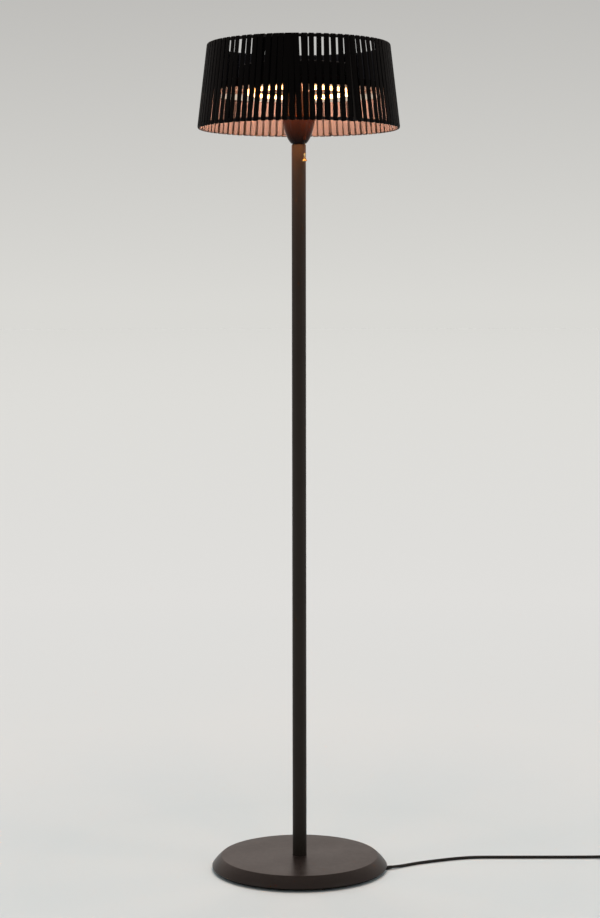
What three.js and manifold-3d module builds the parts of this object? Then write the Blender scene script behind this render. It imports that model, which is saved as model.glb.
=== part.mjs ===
// Standing electric infrared heater: a round weighted base, a slim pole and a drum shade.
// A flat cord is wound over two hoops to make the shade, round a ring lamp under a dished reflector.
// Millimetres, +Z up. The origin is on the floor on the pole's axis, and -Y is the front.
import * as THREE from 'three';
import { mergeVertices } from 'three/addons/utils/BufferGeometryUtils.js';
import Module from 'manifold-3d';

const wasm = await Module();
wasm.setup();

const gap = 0.3; // clearance between pieces that touch
const largeSides = 40; // facets round the base, reflector and covers
const smallSides = 20; // facets round the pole, screws and feet
const degree = Math.PI / 180;

// Base
const footHeight = 5;
const footRadius = 14;
const footCircle = 185;
const footCount = 4;
const baseHeight = 35.6;
const baseTopRadius = 201.4;
const baseRimRadius = 225.4; // widest line of the rim
const baseRimHeight = 10; // height of that line
const baseRimTuck = 3; // how far the lower edge turns in
const baseBulge = 5; // outward bow of the sloping side
const coverSheet = 2;
const basePlateThickness = 2;
const basePlateRadius = baseRimRadius - baseRimTuck - coverSheet - gap;
const ballastThickness = 16;
const ballastRadius = 188;
const leadHoleRadius = 12;
const flangeRadius = 45;
const flangeThickness = 6;
const flangeScrewCount = 3;
const flangeScrewCircle = 33;
const screwRadius = 4;
const screwHeadRadius = 7;
const screwHeadHeight = 5;
const tiltSwitchSize = [26, 18, 8];
const tiltSwitchDistance = 90;

// Pole
const poleRadius = 18;
const poleWall = 1.5;
const poleTop = 1850;
const plugDepth = 38; // how far the top plug goes down the pole
const plugRise = 3; // shadow gap between the pole and the cup
const stemRadius = 8;
const stemWall = 2;
const stemDepth = 50; // how far the stem goes down the pole

// Cup, column and pull switch
const cupFootRadius = 19.4;
const cupRimRadius = 42.5;
const cupHeight = 72;
const cupFlare = [38, 20]; // control point of the cup's curve, above its foot
const cupSheet = 2;
const columnRadius = 34.5;
const columnWall = 2;
const columnLength = 77.1;
const pullAt = [14.5, -24];
const pullCordRadius = 1;
const pullTravel = 8;
const ferruleRadius = 4;
const ferruleTipRise = 6.7; // height of its tip above the cup's foot
const ferruleLength = 34;
const switchRadius = 6.5;
const switchSpringRoom = 14;
const switchLength = switchSpringRoom + pullTravel;
const pendantDrop = 32; // how far it hangs below the ferrule
const pendantHeight = 20;
const pendantRadius = 7;
const pendantNeck = 2.2;

// Reflector, lamp and top cover
const reflectorSheet = 1.2;
const reflectorWallGap = 1.7; // clearance of its rim in the shade
const reflectorDepth = 25;
const reflectorFlatRadius = 175;
const reflectorBendInset = 8; // how far inside the rim its curve turns down
const lampDrop = 22; // how far the lamp hangs below the reflector
const lampRadius = 128; // radius of the ring that the lamp makes
const lampTubeRadius = 5;
const lampTubeWall = 1.2;
const filamentRadius = 2;
const lampGapHalf = 34; // half of the dark gap at the front
const lampTubeInset = 6; // how far each end goes into its holder
const holderSize = [24, 16, 16];
const holderNeckRadius = 4;
const holderNeckRise = 6; // how far the neck stands above the reflector
const clipAngles = [90, 205, 335];
const clipWire = 1.2;
const nutRadius = 13;
const nutHeight = 8;
const topCoverRadius = 150;
const topCoverHeight = 38;
const topCoverSheet = 1.2;
const finialRadius = 11;
const finialHeight = 10;
const terminalSize = [46, 18, 18];
const terminalDistance = 80;
const cutoutRadius = 9;
const cutoutHeight = 8;
const cutoutDistance = 95;

// Shade
const shadeDrop = 113; // how far the shade reaches below the reflector
const shadeHeight = 210;
const shadeBottomRadius = 255;
const shadeTopRadius = 229.7;
const cordTurns = 88;
const sectors = 8; // the winding is made in this many bundles
const cordWidth = 11.3;
const cordThickness = 3;
const hoopSection = 4;
const hoopClearance = 0.6;
const wallThickness = 2 * cordThickness + hoopSection + 2 * hoopClearance;
const ribCount = 4;
const ribAngle = -56; // first rib, counted from +X
const ribWidth = 18;
const ribThickness = 2.5;
const spiderDiscRadius = 50;
const spiderArmWidth = 20;
const spiderTongueWidth = 3.6;
const spiderTongueLength = 14;
const spiderSheet = 2;

// Mains cord
const leadRadius = 3.75;
const reliefAngle = -4.5; // where the cord leaves the rim, counted from +X
const reliefHeading = 28; // the direction in which it leaves
const reliefHeight = 5.4;
const reliefRootRadius = 5.1;
const reliefTipRadius = 4.3;
const reliefInside = 16;
const reliefOutside = 14;
const leadHeight = 12; // height of the lead in the ballast's channel
const channelHalf = leadRadius + 2;
const coilCentre = [862, 43.7];
const coilTurnRadius = 41.25; // between the outer turns, three high, and the inner ones, two high
const tieWidth = 10;
const tieSheet = 0.8;
const tieClearance = 0.6;
const tieAngle = 200;
const tieFloorGap = 0.1;
const tailLength = 45; // from the coil to the plug
const plugBodyRadius = 19;
const plugBodyLength = 34;
const plugBootLength = 22;
const plugBootRadius = 6;
const plugFloorGap = 0.3;
const pinRadius = 2.4;
const pinLength = 19;
const pinSpacing = 19;

// Levels that several pieces share
const ballastZ = footHeight + gap + basePlateThickness + gap;
const ballastTop = ballastZ + ballastThickness;
const cupZ = poleTop + plugRise + gap;
const ferruleTip = cupZ + ferruleTipRise;
const pendantTop = ferruleTip - pendantDrop;
const columnZ = cupZ + cupHeight + gap;
const reflectorZ = columnZ + columnLength + gap; // underside of its flat middle
const reflectorRimRadius = skinRadius(shadeDrop - reflectorDepth) - wallThickness - reflectorWallGap;
const lampZ = reflectorZ - lampDrop;
const shadeZ = reflectorZ - shadeDrop;
const spiderZ = reflectorZ + reflectorSheet + gap;
const topCoverZ = spiderZ + spiderSheet + gap;
const finialZ = topCoverZ + topCoverHeight + gap;

// ---- Solids ----

function toSolid(geometry) {
  const plain = geometry.clone();
  plain.deleteAttribute('normal');
  plain.deleteAttribute('uv');
  const merged = mergeVertices(plain, 1e-4);
  return new wasm.Manifold(new wasm.Mesh({
    numProp: 3,
    vertProperties: new Float32Array(merged.attributes.position.array),
    triVerts: new Uint32Array(merged.index.array),
  }));
}

function toGeometry(solid) {
  const mesh = solid.getMesh();
  const geometry = new THREE.BufferGeometry();
  geometry.setAttribute('position', new THREE.BufferAttribute(mesh.vertProperties, 3));
  geometry.setIndex(new THREE.BufferAttribute(mesh.triVerts, 1));
  geometry.computeVertexNormals();
  return geometry;
}

function cut(geometry, ...tools) {
  return toGeometry(tools.reduce((solid, tool) => solid.subtract(toSolid(tool)), toSolid(geometry)));
}

function join(...geometries) {
  return toGeometry(geometries.map(toSolid).reduce((a, b) => a.add(b)));
}

// A turned solid: the profile lists [radius, height], anticlockwise with the axis on its left.
function turned(profile, sides = smallSides) {
  const points = profile.map(([radius, height]) => new THREE.Vector2(radius, height));
  return new THREE.LatheGeometry(points, sides).rotateX(Math.PI / 2);
}

function disc(radius, height, sides = smallSides) {
  return turned([[0, 0], [radius, 0], [radius, height], [0, height]], sides);
}

function sleeve(inner, outer, height, sides = smallSides) {
  return turned([[inner, 0], [outer, 0], [outer, height], [inner, height], [inner, 0]], sides);
}

// A box that stands on z = 0, centred on the axis.
function block(x, y, z) {
  return new THREE.BoxGeometry(x, y, z).translate(0, 0, z / 2);
}

function curve(start, control, end, steps) {
  const bend = new THREE.QuadraticBezierCurve(...[start, control, end].map((p) => new THREE.Vector2(...p)));
  return bend.getPoints(steps).map((p) => [p.x, p.y]);
}

function polygon(radius, sides) {
  const shape = new THREE.Shape();
  for (let i = 0; i < sides; i += 1) {
    const angle = (i + 0.5) * 2 * Math.PI / sides;
    const point = [radius * Math.cos(angle), radius * Math.sin(angle)];
    if (i === 0) shape.moveTo(...point);
    else shape.lineTo(...point);
  }
  shape.closePath();
  return shape;
}

function tube(path, steps, radius, innerRadius = 0, sides = 8) {
  const section = polygon(radius, sides);
  if (innerRadius > 0) section.holes.push(polygon(innerRadius, sides));
  return new THREE.ExtrudeGeometry(section, { extrudePath: path, steps, bevelEnabled: false });
}

function rod(from, to, radius, sides = 12) {
  const start = new THREE.Vector3(...from);
  const along = new THREE.Vector3(...to).sub(start);
  const turn = new THREE.Quaternion().setFromUnitVectors(new THREE.Vector3(0, 0, 1), along.clone().normalize());
  return disc(radius, along.length(), sides).applyQuaternion(turn).translate(...from);
}

// An arc in a level plane round the axis, from one angle to another.
class LevelArc extends THREE.Curve {
  constructor(radius, from, to) {
    super();
    Object.assign(this, { radius, from, to });
  }

  getPoint(t, target = new THREE.Vector3()) {
    const angle = this.from + (this.to - this.from) * t;
    return target.set(this.radius * Math.cos(angle), this.radius * Math.sin(angle), 0);
  }
}

function polar(radius, degrees) {
  return [radius * Math.cos(degrees * degree), radius * Math.sin(degrees * degree)];
}

function finish(color, roughness, metalness) {
  return () => new THREE.MeshStandardMaterial({ color, roughness, metalness });
}

const darkPaint = finish(0x3a3430, 0.55, 0.3);
const bronzePaint = finish(0x2b2420, 0.35, 0.5);
const castIron = finish(0x45423f, 0.8, 0.6);
const zinc = finish(0x9c9c98, 0.4, 0.9);
const polished = finish(0xd8d4cc, 0.12, 1);
const quartz = finish(0xffd9a0, 0.05, 0);
const glowing = finish(0xffb45a, 0.6, 0.4);
const ceramic = finish(0x4a443e, 0.7, 0.1);
const brass = finish(0xe2c48c, 0.25, 0.9);
const blackRubber = finish(0x1c1b1a, 0.8, 0);
const cordSkin = finish(0x2a2725, 0.6, 0);
const windingSkin = finish(0x0c0b0b, 0.3, 0);
const plasticBody = finish(0x24211f, 0.5, 0);

function piece(name, geometry, material, position = [0, 0, 0], turn = 0) {
  const mesh = new THREE.Mesh(geometry, material());
  mesh.name = name;
  mesh.position.set(...position);
  mesh.rotation.z = turn * degree;
  return mesh;
}

function assembly(...members) {
  const group = new THREE.Group();
  group.add(...members.flat());
  return group;
}

function ring(count, make) {
  return Array.from({ length: count }, (_, i) => make(i + 1, i * 360 / count));
}

// ---- Base ----

// The cord's strain relief crosses the rim here, and the lead inside starts at its inner end.
const reliefCross = polar(baseRimRadius, reliefAngle);
const reliefAlong = polar(1, reliefHeading);
const reliefPoint = (distance) => reliefCross.map((value, i) => value + reliefAlong[i] * distance);
const leadStart = reliefPoint(-reliefInside - gap);
const leadBend = reliefPoint(-reliefInside - 2 * leadRadius);
const leadAngle = Math.atan2(leadBend[1], leadBend[0]) / degree;

function reliefNotch() {
  const width = 2 * (reliefRootRadius + gap);
  const length = 2 * (reliefInside + reliefOutside);
  const height = reliefHeight + reliefRootRadius + gap;
  const notch = block(length, width, height + footHeight).rotateZ(reliefHeading * degree);
  return notch.translate(...reliefCross, -footHeight);
}

function leadNotch() {
  const inner = ballastRadius - 5 * leadRadius;
  const length = Math.hypot(...leadBend) + channelHalf - inner;
  const height = ballastZ + footHeight;
  const notch = block(length, 2 * channelHalf, height).translate(inner + length / 2, 0, -footHeight);
  return notch.rotateZ(leadAngle * degree);
}

function baseCover() {
  const hole = poleRadius + gap;
  const side = [(baseTopRadius + baseRimRadius) / 2 + baseBulge, (baseHeight + baseRimHeight) / 2 + baseBulge];
  const outside = curve([baseRimRadius, baseRimHeight], side, [baseTopRadius, baseHeight], 4);
  const inward = ([radius, height]) => [radius - coverSheet, height - coverSheet * (height > baseRimHeight)];
  const inside = outside.map(inward).reverse();
  const lip = baseRimRadius - baseRimTuck;
  const shell = turned([
    [lip - coverSheet, footHeight], [lip, footHeight], ...outside,
    [hole, baseHeight], [hole, baseHeight - coverSheet], ...inside, [lip - coverSheet, footHeight],
  ], largeSides);
  return cut(shell, reliefNotch());
}

function basePlate() {
  const plate = disc(basePlateRadius, basePlateThickness, largeSides).translate(0, 0, footHeight + gap);
  return cut(plate, reliefNotch(), leadNotch());
}

function screwPlaces() {
  return ring(flangeScrewCount, (number, angle) => polar(flangeScrewCircle, angle + 90));
}

function ballast() {
  const plate = disc(ballastRadius, ballastThickness, largeSides);
  const channelHeight = leadHeight + channelHalf - ballastZ;
  const channel = block(ballastRadius + gap, 2 * channelHalf, channelHeight + footHeight);
  channel.translate((ballastRadius + gap) / 2, 0, -footHeight).rotateZ(leadAngle * degree);
  const centre = disc(leadHoleRadius, ballastThickness + 2).translate(0, 0, -1);
  const holes = screwPlaces().flatMap(([x, y]) => [
    disc(screwRadius + gap, ballastThickness + 2, 12).translate(x, y, -1),
    disc(screwHeadRadius + gap, screwHeadHeight + gap + 1, 12).translate(x, y, -1),
  ]);
  return cut(plate, channel, centre, ...holes);
}

function poleFlange() {
  const plate = sleeve(poleRadius + gap, flangeRadius, flangeThickness, largeSides);
  const holes = screwPlaces().map(([x, y]) => disc(screwRadius + gap, flangeThickness + 2, 12).translate(x, y, -1));
  return cut(plate, ...holes);
}

function flangeScrew() {
  const length = ballastThickness + gap + flangeThickness;
  return turned([
    [0, 0], [screwHeadRadius, 0], [screwHeadRadius, screwHeadHeight], [screwRadius, screwHeadHeight],
    [screwRadius, length], [0, length],
  ], 12);
}

function strainRelief() {
  const length = reliefInside + reliefOutside;
  const sleeveShape = turned([[0, 0], [reliefRootRadius, 0], [reliefRootRadius, reliefInside],
    [reliefTipRadius, length], [0, length]], 12);
  return sleeveShape.rotateY(Math.PI / 2).rotateZ(reliefHeading * degree);
}

// The lead runs in the ballast's channel to the axis, and up the pole and the stem to the terminals.
function supplyLead() {
  const rise = polar(ballastRadius - 3 * leadRadius, leadAngle);
  const corners = [
    [...leadStart, reliefHeight], [...leadBend, reliefHeight], [...rise, leadHeight],
    [0, 0, leadHeight], [0, 0, finialZ - 2 * gap],
  ];
  const stretches = corners.slice(1).map((corner, i) => rod(corners[i], corner, leadRadius, 8));
  const elbows = corners.slice(1, -1).map((corner) => (
    new THREE.SphereGeometry(leadRadius * 1.05, 8, 5).translate(...corner)));
  return join(...stretches, ...elbows);
}

function base() {
  const feet = ring(footCount, (number, angle) => (
    piece(`foot_${number}`, disc(footRadius, footHeight, 16), blackRubber, [...polar(footCircle, angle + 45), 0])));
  const screws = screwPlaces().map(([x, y], i) => (
    piece(`flange_screw_${i + 1}`, flangeScrew(), zinc, [x, y, ballastZ])));
  return assembly(
    piece('base_cover', baseCover(), darkPaint),
    piece('base_plate', basePlate(), zinc),
    piece('ballast_plate', ballast(), castIron, [0, 0, ballastZ]),
    piece('pole_flange', poleFlange(), zinc, [0, 0, ballastTop + gap]),
    piece('tilt_switch', block(...tiltSwitchSize), plasticBody, [0, tiltSwitchDistance, ballastTop + gap]),
    piece('strain_relief', strainRelief(), blackRubber, [...reliefPoint(-reliefInside), reliefHeight]),
    piece('supply_lead', supplyLead(), cordSkin),
    feet,
    screws,
  );
}

// ---- Pole ----

function pole() {
  const foot = ballastTop + gap;
  const stemHeight = finialZ + finialHeight / 2 - poleTop;
  const plug = sleeve(stemRadius + gap, poleRadius - poleWall - gap, plugDepth + plugRise);
  return assembly(
    piece('pole', sleeve(poleRadius - poleWall, poleRadius, poleTop - foot, 24), darkPaint, [0, 0, foot]),
    piece('pole_top_plug', plug, zinc, [0, 0, poleTop - plugDepth]),
    piece('stem', sleeve(stemRadius - stemWall, stemRadius, stemHeight + stemDepth), zinc, [0, 0, poleTop - stemDepth]),
  );
}

// ---- Cup, column and pull switch ----

function cup() {
  const outside = curve([cupFootRadius, 0], cupFlare, [cupRimRadius, cupHeight], 6);
  const inside = curve([cupFootRadius - cupSheet, cupSheet], [cupFlare[0] - cupSheet, cupFlare[1] + cupSheet],
    [cupRimRadius - cupSheet, cupHeight - cupSheet], 5).reverse();
  const hole = stemRadius + gap;
  const mouth = columnRadius - 2 * columnWall;
  const bowl = turned([
    [hole, 0], ...outside, [mouth, cupHeight], [mouth, cupHeight - cupSheet], ...inside,
    [hole, cupSheet], [hole, 0],
  ], 28);
  const ferruleHole = disc(ferruleRadius + gap, cupHeight).translate(...pullAt, -cupHeight / 2);
  return cut(bowl, ferruleHole);
}

function pendant() {
  const bell = curve([pendantRadius, 0], [pendantNeck, pendantHeight * 0.35], [pendantNeck, pendantHeight * 0.85], 6);
  return turned([[0, 0], ...bell, [pendantNeck * 0.6, pendantHeight], [0, pendantHeight]], 16);
}

function hub() {
  const column = sleeve(columnRadius - columnWall, columnRadius, columnLength, 32);
  const pullBottom = pendantTop + gap;
  const pullTop = ferruleTip + ferruleLength - gap;
  const ferrule = sleeve(pullCordRadius + gap, ferruleRadius, ferruleLength, 16);
  return assembly(
    piece('cup', cup(), bronzePaint, [0, 0, cupZ]),
    piece('column', column, bronzePaint, [0, 0, columnZ]),
    piece('switch_ferrule', ferrule, brass, [...pullAt, ferruleTip]),
    piece('switch_body', disc(switchRadius, switchLength), plasticBody,
      [...pullAt, ferruleTip + ferruleLength + gap]),
    piece('pull_cord', disc(pullCordRadius, pullTop - pullBottom, 8), cordSkin, [...pullAt, pullBottom]),
    piece('pull_pendant', pendant(), brass, [...pullAt, pendantTop - pendantHeight]),
  );
}

// ---- Reflector and lamp ----

const lampGapAngle = Math.asin(lampGapHalf / lampRadius) / degree;
const lampInsetAngle = lampTubeInset / lampRadius / degree;

function holderPlaces() {
  const middle = Math.atan2(lampGapHalf - holderSize[0] / 2, lampRadius) / degree;
  return [-90 - middle, -90 + middle];
}

function reflector() {
  const hole = stemRadius + gap;
  const flat = reflectorFlatRadius;
  const bend = reflectorRimRadius - reflectorSheet - reflectorBendInset;
  const under = curve([reflectorRimRadius - reflectorSheet, -reflectorDepth],
    [bend - reflectorSheet, 0], [flat, 0], 4).reverse();
  const over = curve([reflectorRimRadius, -reflectorDepth], [bend, reflectorSheet], [flat, reflectorSheet], 4);
  const dish = turned([[hole, 0], ...under, ...over, [hole, reflectorSheet], [hole, 0]], largeSides);
  const neckHoles = holderPlaces().map((angle) => (
    disc(holderNeckRadius + gap, 10, 12).translate(...polar(lampRadius, angle), -5)));
  return cut(dish, ...neckHoles);
}

// Each end of the lamp sits in a block that hangs from the reflector by a hollow neck.
function lampHolder(side) {
  const [length, width, height] = holderSize;
  const body = block(length, width, height).translate(0, 0, -height / 2);
  const neckTop = reflectorZ + reflectorSheet + holderNeckRise - lampZ;
  const neck = disc(holderNeckRadius, neckTop, 12);
  const socketDepth = lampTubeInset + gap;
  const socket = disc(lampTubeRadius + 4 * gap, socketDepth + 1, 12).rotateY(Math.PI / 2);
  socket.translate(length / 2 - socketDepth, 0, 0);
  const holder = cut(join(body, neck), socket);
  return side > 0 ? holder : holder.rotateZ(Math.PI);
}

function lampClip() {
  const eyeRadius = lampTubeRadius + gap + clipWire;
  const eye = new THREE.TorusGeometry(eyeRadius, clipWire, 6, 14).rotateX(Math.PI / 2);
  const post = disc(clipWire, reflectorZ - gap - lampZ - eyeRadius, 8).translate(0, 0, eyeRadius);
  return join(eye, post);
}

function lamp() {
  const from = (-90 + lampGapAngle - lampInsetAngle) * degree;
  const to = (270 - lampGapAngle + lampInsetAngle) * degree;
  const arc = new LevelArc(lampRadius, from, to);
  const shell = tube(arc, 32, lampTubeRadius, lampTubeRadius - lampTubeWall, 8);
  const clips = clipAngles.map((angle, i) => (
    piece(`lamp_clip_${i + 1}`, lampClip(), zinc, [...polar(lampRadius, angle), lampZ], angle)));
  const holders = holderPlaces().map((angle, i) => (
    piece(`lamp_holder_${i + 1}`, lampHolder(i * 2 - 1), ceramic, [...polar(lampRadius, angle), lampZ], angle + 90)));
  return assembly(
    piece('lamp_tube', shell, quartz, [0, 0, lampZ]),
    piece('lamp_filament', tube(arc, 32, filamentRadius, 0, 5), glowing, [0, 0, lampZ]),
    clips,
    holders,
  );
}

function topCover() {
  const inner = topCoverRadius - topCoverSheet;
  const hole = stemRadius + gap;
  const ceiling = topCoverHeight - topCoverSheet;
  return turned([
    [hole, ceiling], [inner, ceiling], [inner, 0], [topCoverRadius, 0], [topCoverRadius, topCoverHeight],
    [hole, topCoverHeight], [hole, ceiling],
  ], largeSides);
}

function stemNut() {
  return cut(disc(nutRadius, nutHeight, 6), disc(stemRadius + gap, nutHeight + 2).translate(0, 0, -1));
}

function finial() {
  const bore = stemRadius + gap;
  const inside = finialHeight / 2 + gap;
  return turned([
    [0, inside], [bore, inside], [bore, 0], [finialRadius, 0], [finialRadius, inside],
    [finialRadius * 0.7, finialHeight], [0, finialHeight],
  ]);
}

function head() {
  return assembly(
    piece('reflector', reflector(), polished, [0, 0, reflectorZ]),
    lamp(),
    piece('terminal_block', block(...terminalSize), plasticBody, [0, terminalDistance, spiderZ]),
    piece('thermal_cutout', disc(cutoutRadius, cutoutHeight), zinc, [-cutoutDistance, 0, spiderZ]),
    piece('stem_nut', stemNut(), zinc, [0, 0, topCoverZ]),
    piece('top_cover', topCover(), darkPaint, [0, 0, topCoverZ]),
    piece('finial_nut', finial(), bronzePaint, [0, 0, finialZ]),
  );
}

// ---- Shade ----

// Radius of the shade's outer skin at a height above its lower edge.
function skinRadius(height) {
  return shadeBottomRadius + (shadeTopRadius - shadeBottomRadius) * height / shadeHeight;
}

// Corners of one turn of the winding, as [radius, height] on its outside and on the side by the hoop.
function turnCorners() {
  const t = cordThickness;
  const [low, high] = [0, shadeHeight];
  return {
    start: [[skinRadius(low) - wallThickness, low], [skinRadius(low) - wallThickness, low + t]],
    outerLow: [[skinRadius(low), low], [skinRadius(low + t) - t, low + t]],
    outerHigh: [[skinRadius(high), high], [skinRadius(high - t) - t, high - t]],
    innerHigh: [[skinRadius(high) - wallThickness, high], [skinRadius(high - t) - wallThickness + t, high - t]],
    innerLow: [[skinRadius(low) - wallThickness, low], [skinRadius(low + t) - wallThickness + t, low + t]],
    end: [0, t].map((depth) => [skinRadius(low + t + gap) - wallThickness + depth, low + t + gap]),
  };
}

// A bundle of turns: up the outside, over the top hoop, down the inside to the next place, and under.
function windingBundle(turns, pitch) {
  const corners = turnCorners();
  const sections = [[corners.start, 0]];
  for (let i = 0; i < turns; i += 1) {
    sections.push([corners.outerLow, i], [corners.outerHigh, i], [corners.innerHigh, i]);
    sections.push(i < turns - 1 ? [corners.innerLow, i + 1] : [corners.end, i + 1]);
  }
  const positions = [];
  for (const [corner, place] of sections) {
    const angle = place * pitch;
    for (const [radius, height] of corner) {
      for (const side of [-cordWidth / 2, cordWidth / 2]) {
        positions.push(radius * Math.cos(angle) - side * Math.sin(angle),
          radius * Math.sin(angle) + side * Math.cos(angle), height);
      }
    }
  }
  const loop = [0, 1, 3, 2];
  const index = [];
  for (let s = 0; s < sections.length - 1; s += 1) {
    for (let k = 0; k < 4; k += 1) {
      const [a, b] = [4 * s + loop[k], 4 * s + loop[(k + 1) % 4]];
      index.push(a, b, b + 4, a, b + 4, a + 4);
    }
  }
  const last = 4 * (sections.length - 1);
  index.push(0, 2, 3, 0, 3, 1, last, last + 1, last + 3, last, last + 3, last + 2);
  const geometry = new THREE.BufferGeometry();
  geometry.setAttribute('position', new THREE.Float32BufferAttribute(positions, 3));
  geometry.setIndex(index);
  geometry.computeVertexNormals();
  return geometry;
}

function hoop(height) {
  const outer = skinRadius(height) - cordThickness - hoopClearance;
  const half = hoopSection / 2;
  return turned([
    [outer - hoopSection, height - half], [outer, height - half], [outer, height + half],
    [outer - hoopSection, height + half], [outer - hoopSection, height - half],
  ], cordTurns);
}

const hoopHeights = [cordThickness + hoopClearance + hoopSection / 2,
  shadeHeight - cordThickness - hoopClearance - hoopSection / 2];

function rib() {
  const low = hoopHeights[0] + hoopSection / 2 + gap;
  const high = hoopHeights[1] - hoopSection / 2 - gap;
  const inset = wallThickness / 2;
  const near = ribThickness / 2;
  const shape = new THREE.Shape([[inset - near, low], [inset + near, low], [inset + near, high], [inset - near, high]]
    .map(([depth, height]) => new THREE.Vector2(-skinRadius(height) + depth, height)));
  const bar = new THREE.ExtrudeGeometry(shape, { depth: ribWidth, bevelEnabled: false });
  return bar.translate(0, 0, -ribWidth / 2).rotateX(Math.PI / 2).rotateZ(Math.PI);
}

function spider() {
  const reach = skinRadius(spiderZ + spiderSheet - shadeZ) - wallThickness / 2 - ribThickness / 2 - gap;
  const armEnd = reach - spiderTongueLength;
  const arms = ring(ribCount, (number, angle) => {
    const arm = block(armEnd, spiderArmWidth, spiderSheet).translate(armEnd / 2, 0, 0);
    const tongue = block(spiderTongueLength * 2, spiderTongueWidth, spiderSheet);
    tongue.translate(reach - spiderTongueLength, 0, 0);
    return join(arm, tongue).rotateZ((ribAngle + angle) * degree);
  });
  const hole = disc(stemRadius + gap, spiderSheet + 2).translate(0, 0, -1);
  return cut(join(disc(spiderDiscRadius, spiderSheet), ...arms), hole);
}

function shade() {
  const pitch = 2 * Math.PI / cordTurns;
  const perSector = cordTurns / sectors;
  // A gap between inner strands meets each rib at the height of the spider's tongue.
  const slantThere = (1 - (spiderZ - shadeZ) / shadeHeight) * pitch / degree;
  const firstTurn = ribAngle + 0.5 * pitch / degree - slantThere;
  const bundles = ring(sectors, (number, angle) => (
    piece(`cord_wrap_${number}`, windingBundle(perSector, pitch), windingSkin, [0, 0, 0], firstTurn + angle)));
  const ribs = ring(ribCount, (number, angle) => (
    piece(`shade_rib_${number}`, rib(), darkPaint, [0, 0, 0], ribAngle + angle)));
  const frame = assembly(
    bundles,
    ribs,
    piece('bottom_hoop', hoop(hoopHeights[0]), darkPaint),
    piece('top_hoop', hoop(hoopHeights[1]), darkPaint),
  );
  frame.position.z = shadeZ;
  return assembly(frame, piece('shade_spider', spider(), zinc, [0, 0, spiderZ]));
}

// ---- Mains cord ----

// The cord's run over the floor, from the strain relief to the coil.
const cordPoints = [
  [237.6, -10.8, 5.4], [245, -6.9, 5.2], [258, 1, 4.5], [270, 9, 4], [290, 22, 4], [315, 36, 4], [345, 50, 4],
  [375, 63, 4], [405, 74.5, 4], [430, 82, 4], [455, 86.8, 4], [485, 88.7, 4], [530, 88.7, 4], [590, 88.7, 4],
  [650, 88.7, 4], [710, 88.7, 4], [770, 88.7, 4.3], [815, 88.7, 5.1], [835.4, 88.7, 5.25],
];

const coilOuter = coilTurnRadius + 2 * leadRadius;
const coilInner = coilTurnRadius - 2 * leadRadius;
const coilHeight = 6 * leadRadius;
const coilStep = 4 * leadRadius; // height of the inner turns

function coil() {
  const soft = leadRadius * 0.6;
  return turned([
    [coilInner + soft, 0], [coilOuter - soft, 0], [coilOuter, soft], [coilOuter, coilHeight - soft],
    [coilOuter - soft, coilHeight], [coilTurnRadius + soft, coilHeight], [coilTurnRadius, coilHeight - soft],
    [coilTurnRadius, coilStep], [coilInner + soft, coilStep], [coilInner, coilStep - soft],
    [coilInner, soft], [coilInner + soft, 0],
  ], 30);
}

function coilTie() {
  const half = [(coilOuter - coilInner) / 2 + tieClearance, coilHeight / 2 + tieClearance];
  const outline = (grow) => [[-1, -1], [1, -1], [1, 1], [-1, 1]]
    .map(([x, y]) => new THREE.Vector2(x * (half[0] + grow), y * (half[1] + grow)));
  const loop = new THREE.Shape(outline(tieSheet));
  loop.holes.push(new THREE.Path(outline(0)));
  const band = new THREE.ExtrudeGeometry(loop, { depth: tieWidth, bevelEnabled: false });
  return band.translate(0, 0, -tieWidth / 2).rotateX(Math.PI / 2);
}

function plugBody() {
  const boot = plugBootLength;
  const end = boot + plugBodyLength;
  const round = 3;
  return turned([
    [0, 0], [plugBootRadius, 0], [plugBootRadius + round, boot], [plugBodyRadius - round, boot + round],
    [plugBodyRadius, boot + 3 * round], [plugBodyRadius, end], [0, end],
  ], 24).rotateX(Math.PI / 2);
}

function mainsCord() {
  const run = new THREE.CatmullRomCurve3(cordPoints.map((point) => new THREE.Vector3(...point)));
  const coilFloor = tieFloorGap + tieSheet + tieClearance;
  const tailX = coilCentre[0] + coilOuter - leadRadius;
  const tailStart = coilCentre[1] - Math.sqrt(coilOuter ** 2 - (coilOuter - 2 * leadRadius) ** 2) - gap;
  const plugZ = plugBodyRadius + plugFloorGap;
  const tailZ = coilFloor + coilHeight - leadRadius;
  const tailPoints = [[0, tailZ], [0.3, 0.8 * tailZ + 0.2 * plugZ], [0.7, 0.2 * tailZ + 0.8 * plugZ], [1, plugZ]];
  const tail = new THREE.CatmullRomCurve3(tailPoints.map(([share, z]) => (
    new THREE.Vector3(tailX, tailStart - share * tailLength, z))));
  const plugStart = tailStart - tailLength - gap;
  const face = plugStart - plugBootLength - plugBodyLength - gap;
  const pins = [-1, 1].map((side, i) => (
    piece(`plug_pin_${i + 1}`, disc(pinRadius, pinLength, 10).rotateX(Math.PI / 2), brass,
      [tailX + side * pinSpacing / 2, face, plugZ])));
  const tieCentre = polar(coilTurnRadius, tieAngle).map((value, i) => value + coilCentre[i]);
  return assembly(
    piece('mains_cord', tube(run, 34, leadRadius), cordSkin),
    piece('cord_coil', coil(), cordSkin, [...coilCentre, coilFloor]),
    piece('cord_tie', coilTie(), blackRubber, [...tieCentre, coilFloor + coilHeight / 2], tieAngle),
    piece('cord_tail', tube(tail, 6, leadRadius), cordSkin),
    piece('plug_body', plugBody(), plasticBody, [tailX, plugStart, plugZ]),
    pins,
  );
}

const group = assembly(base(), pole(), hub(), head(), shade(), mainsCord());

export default group;
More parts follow.
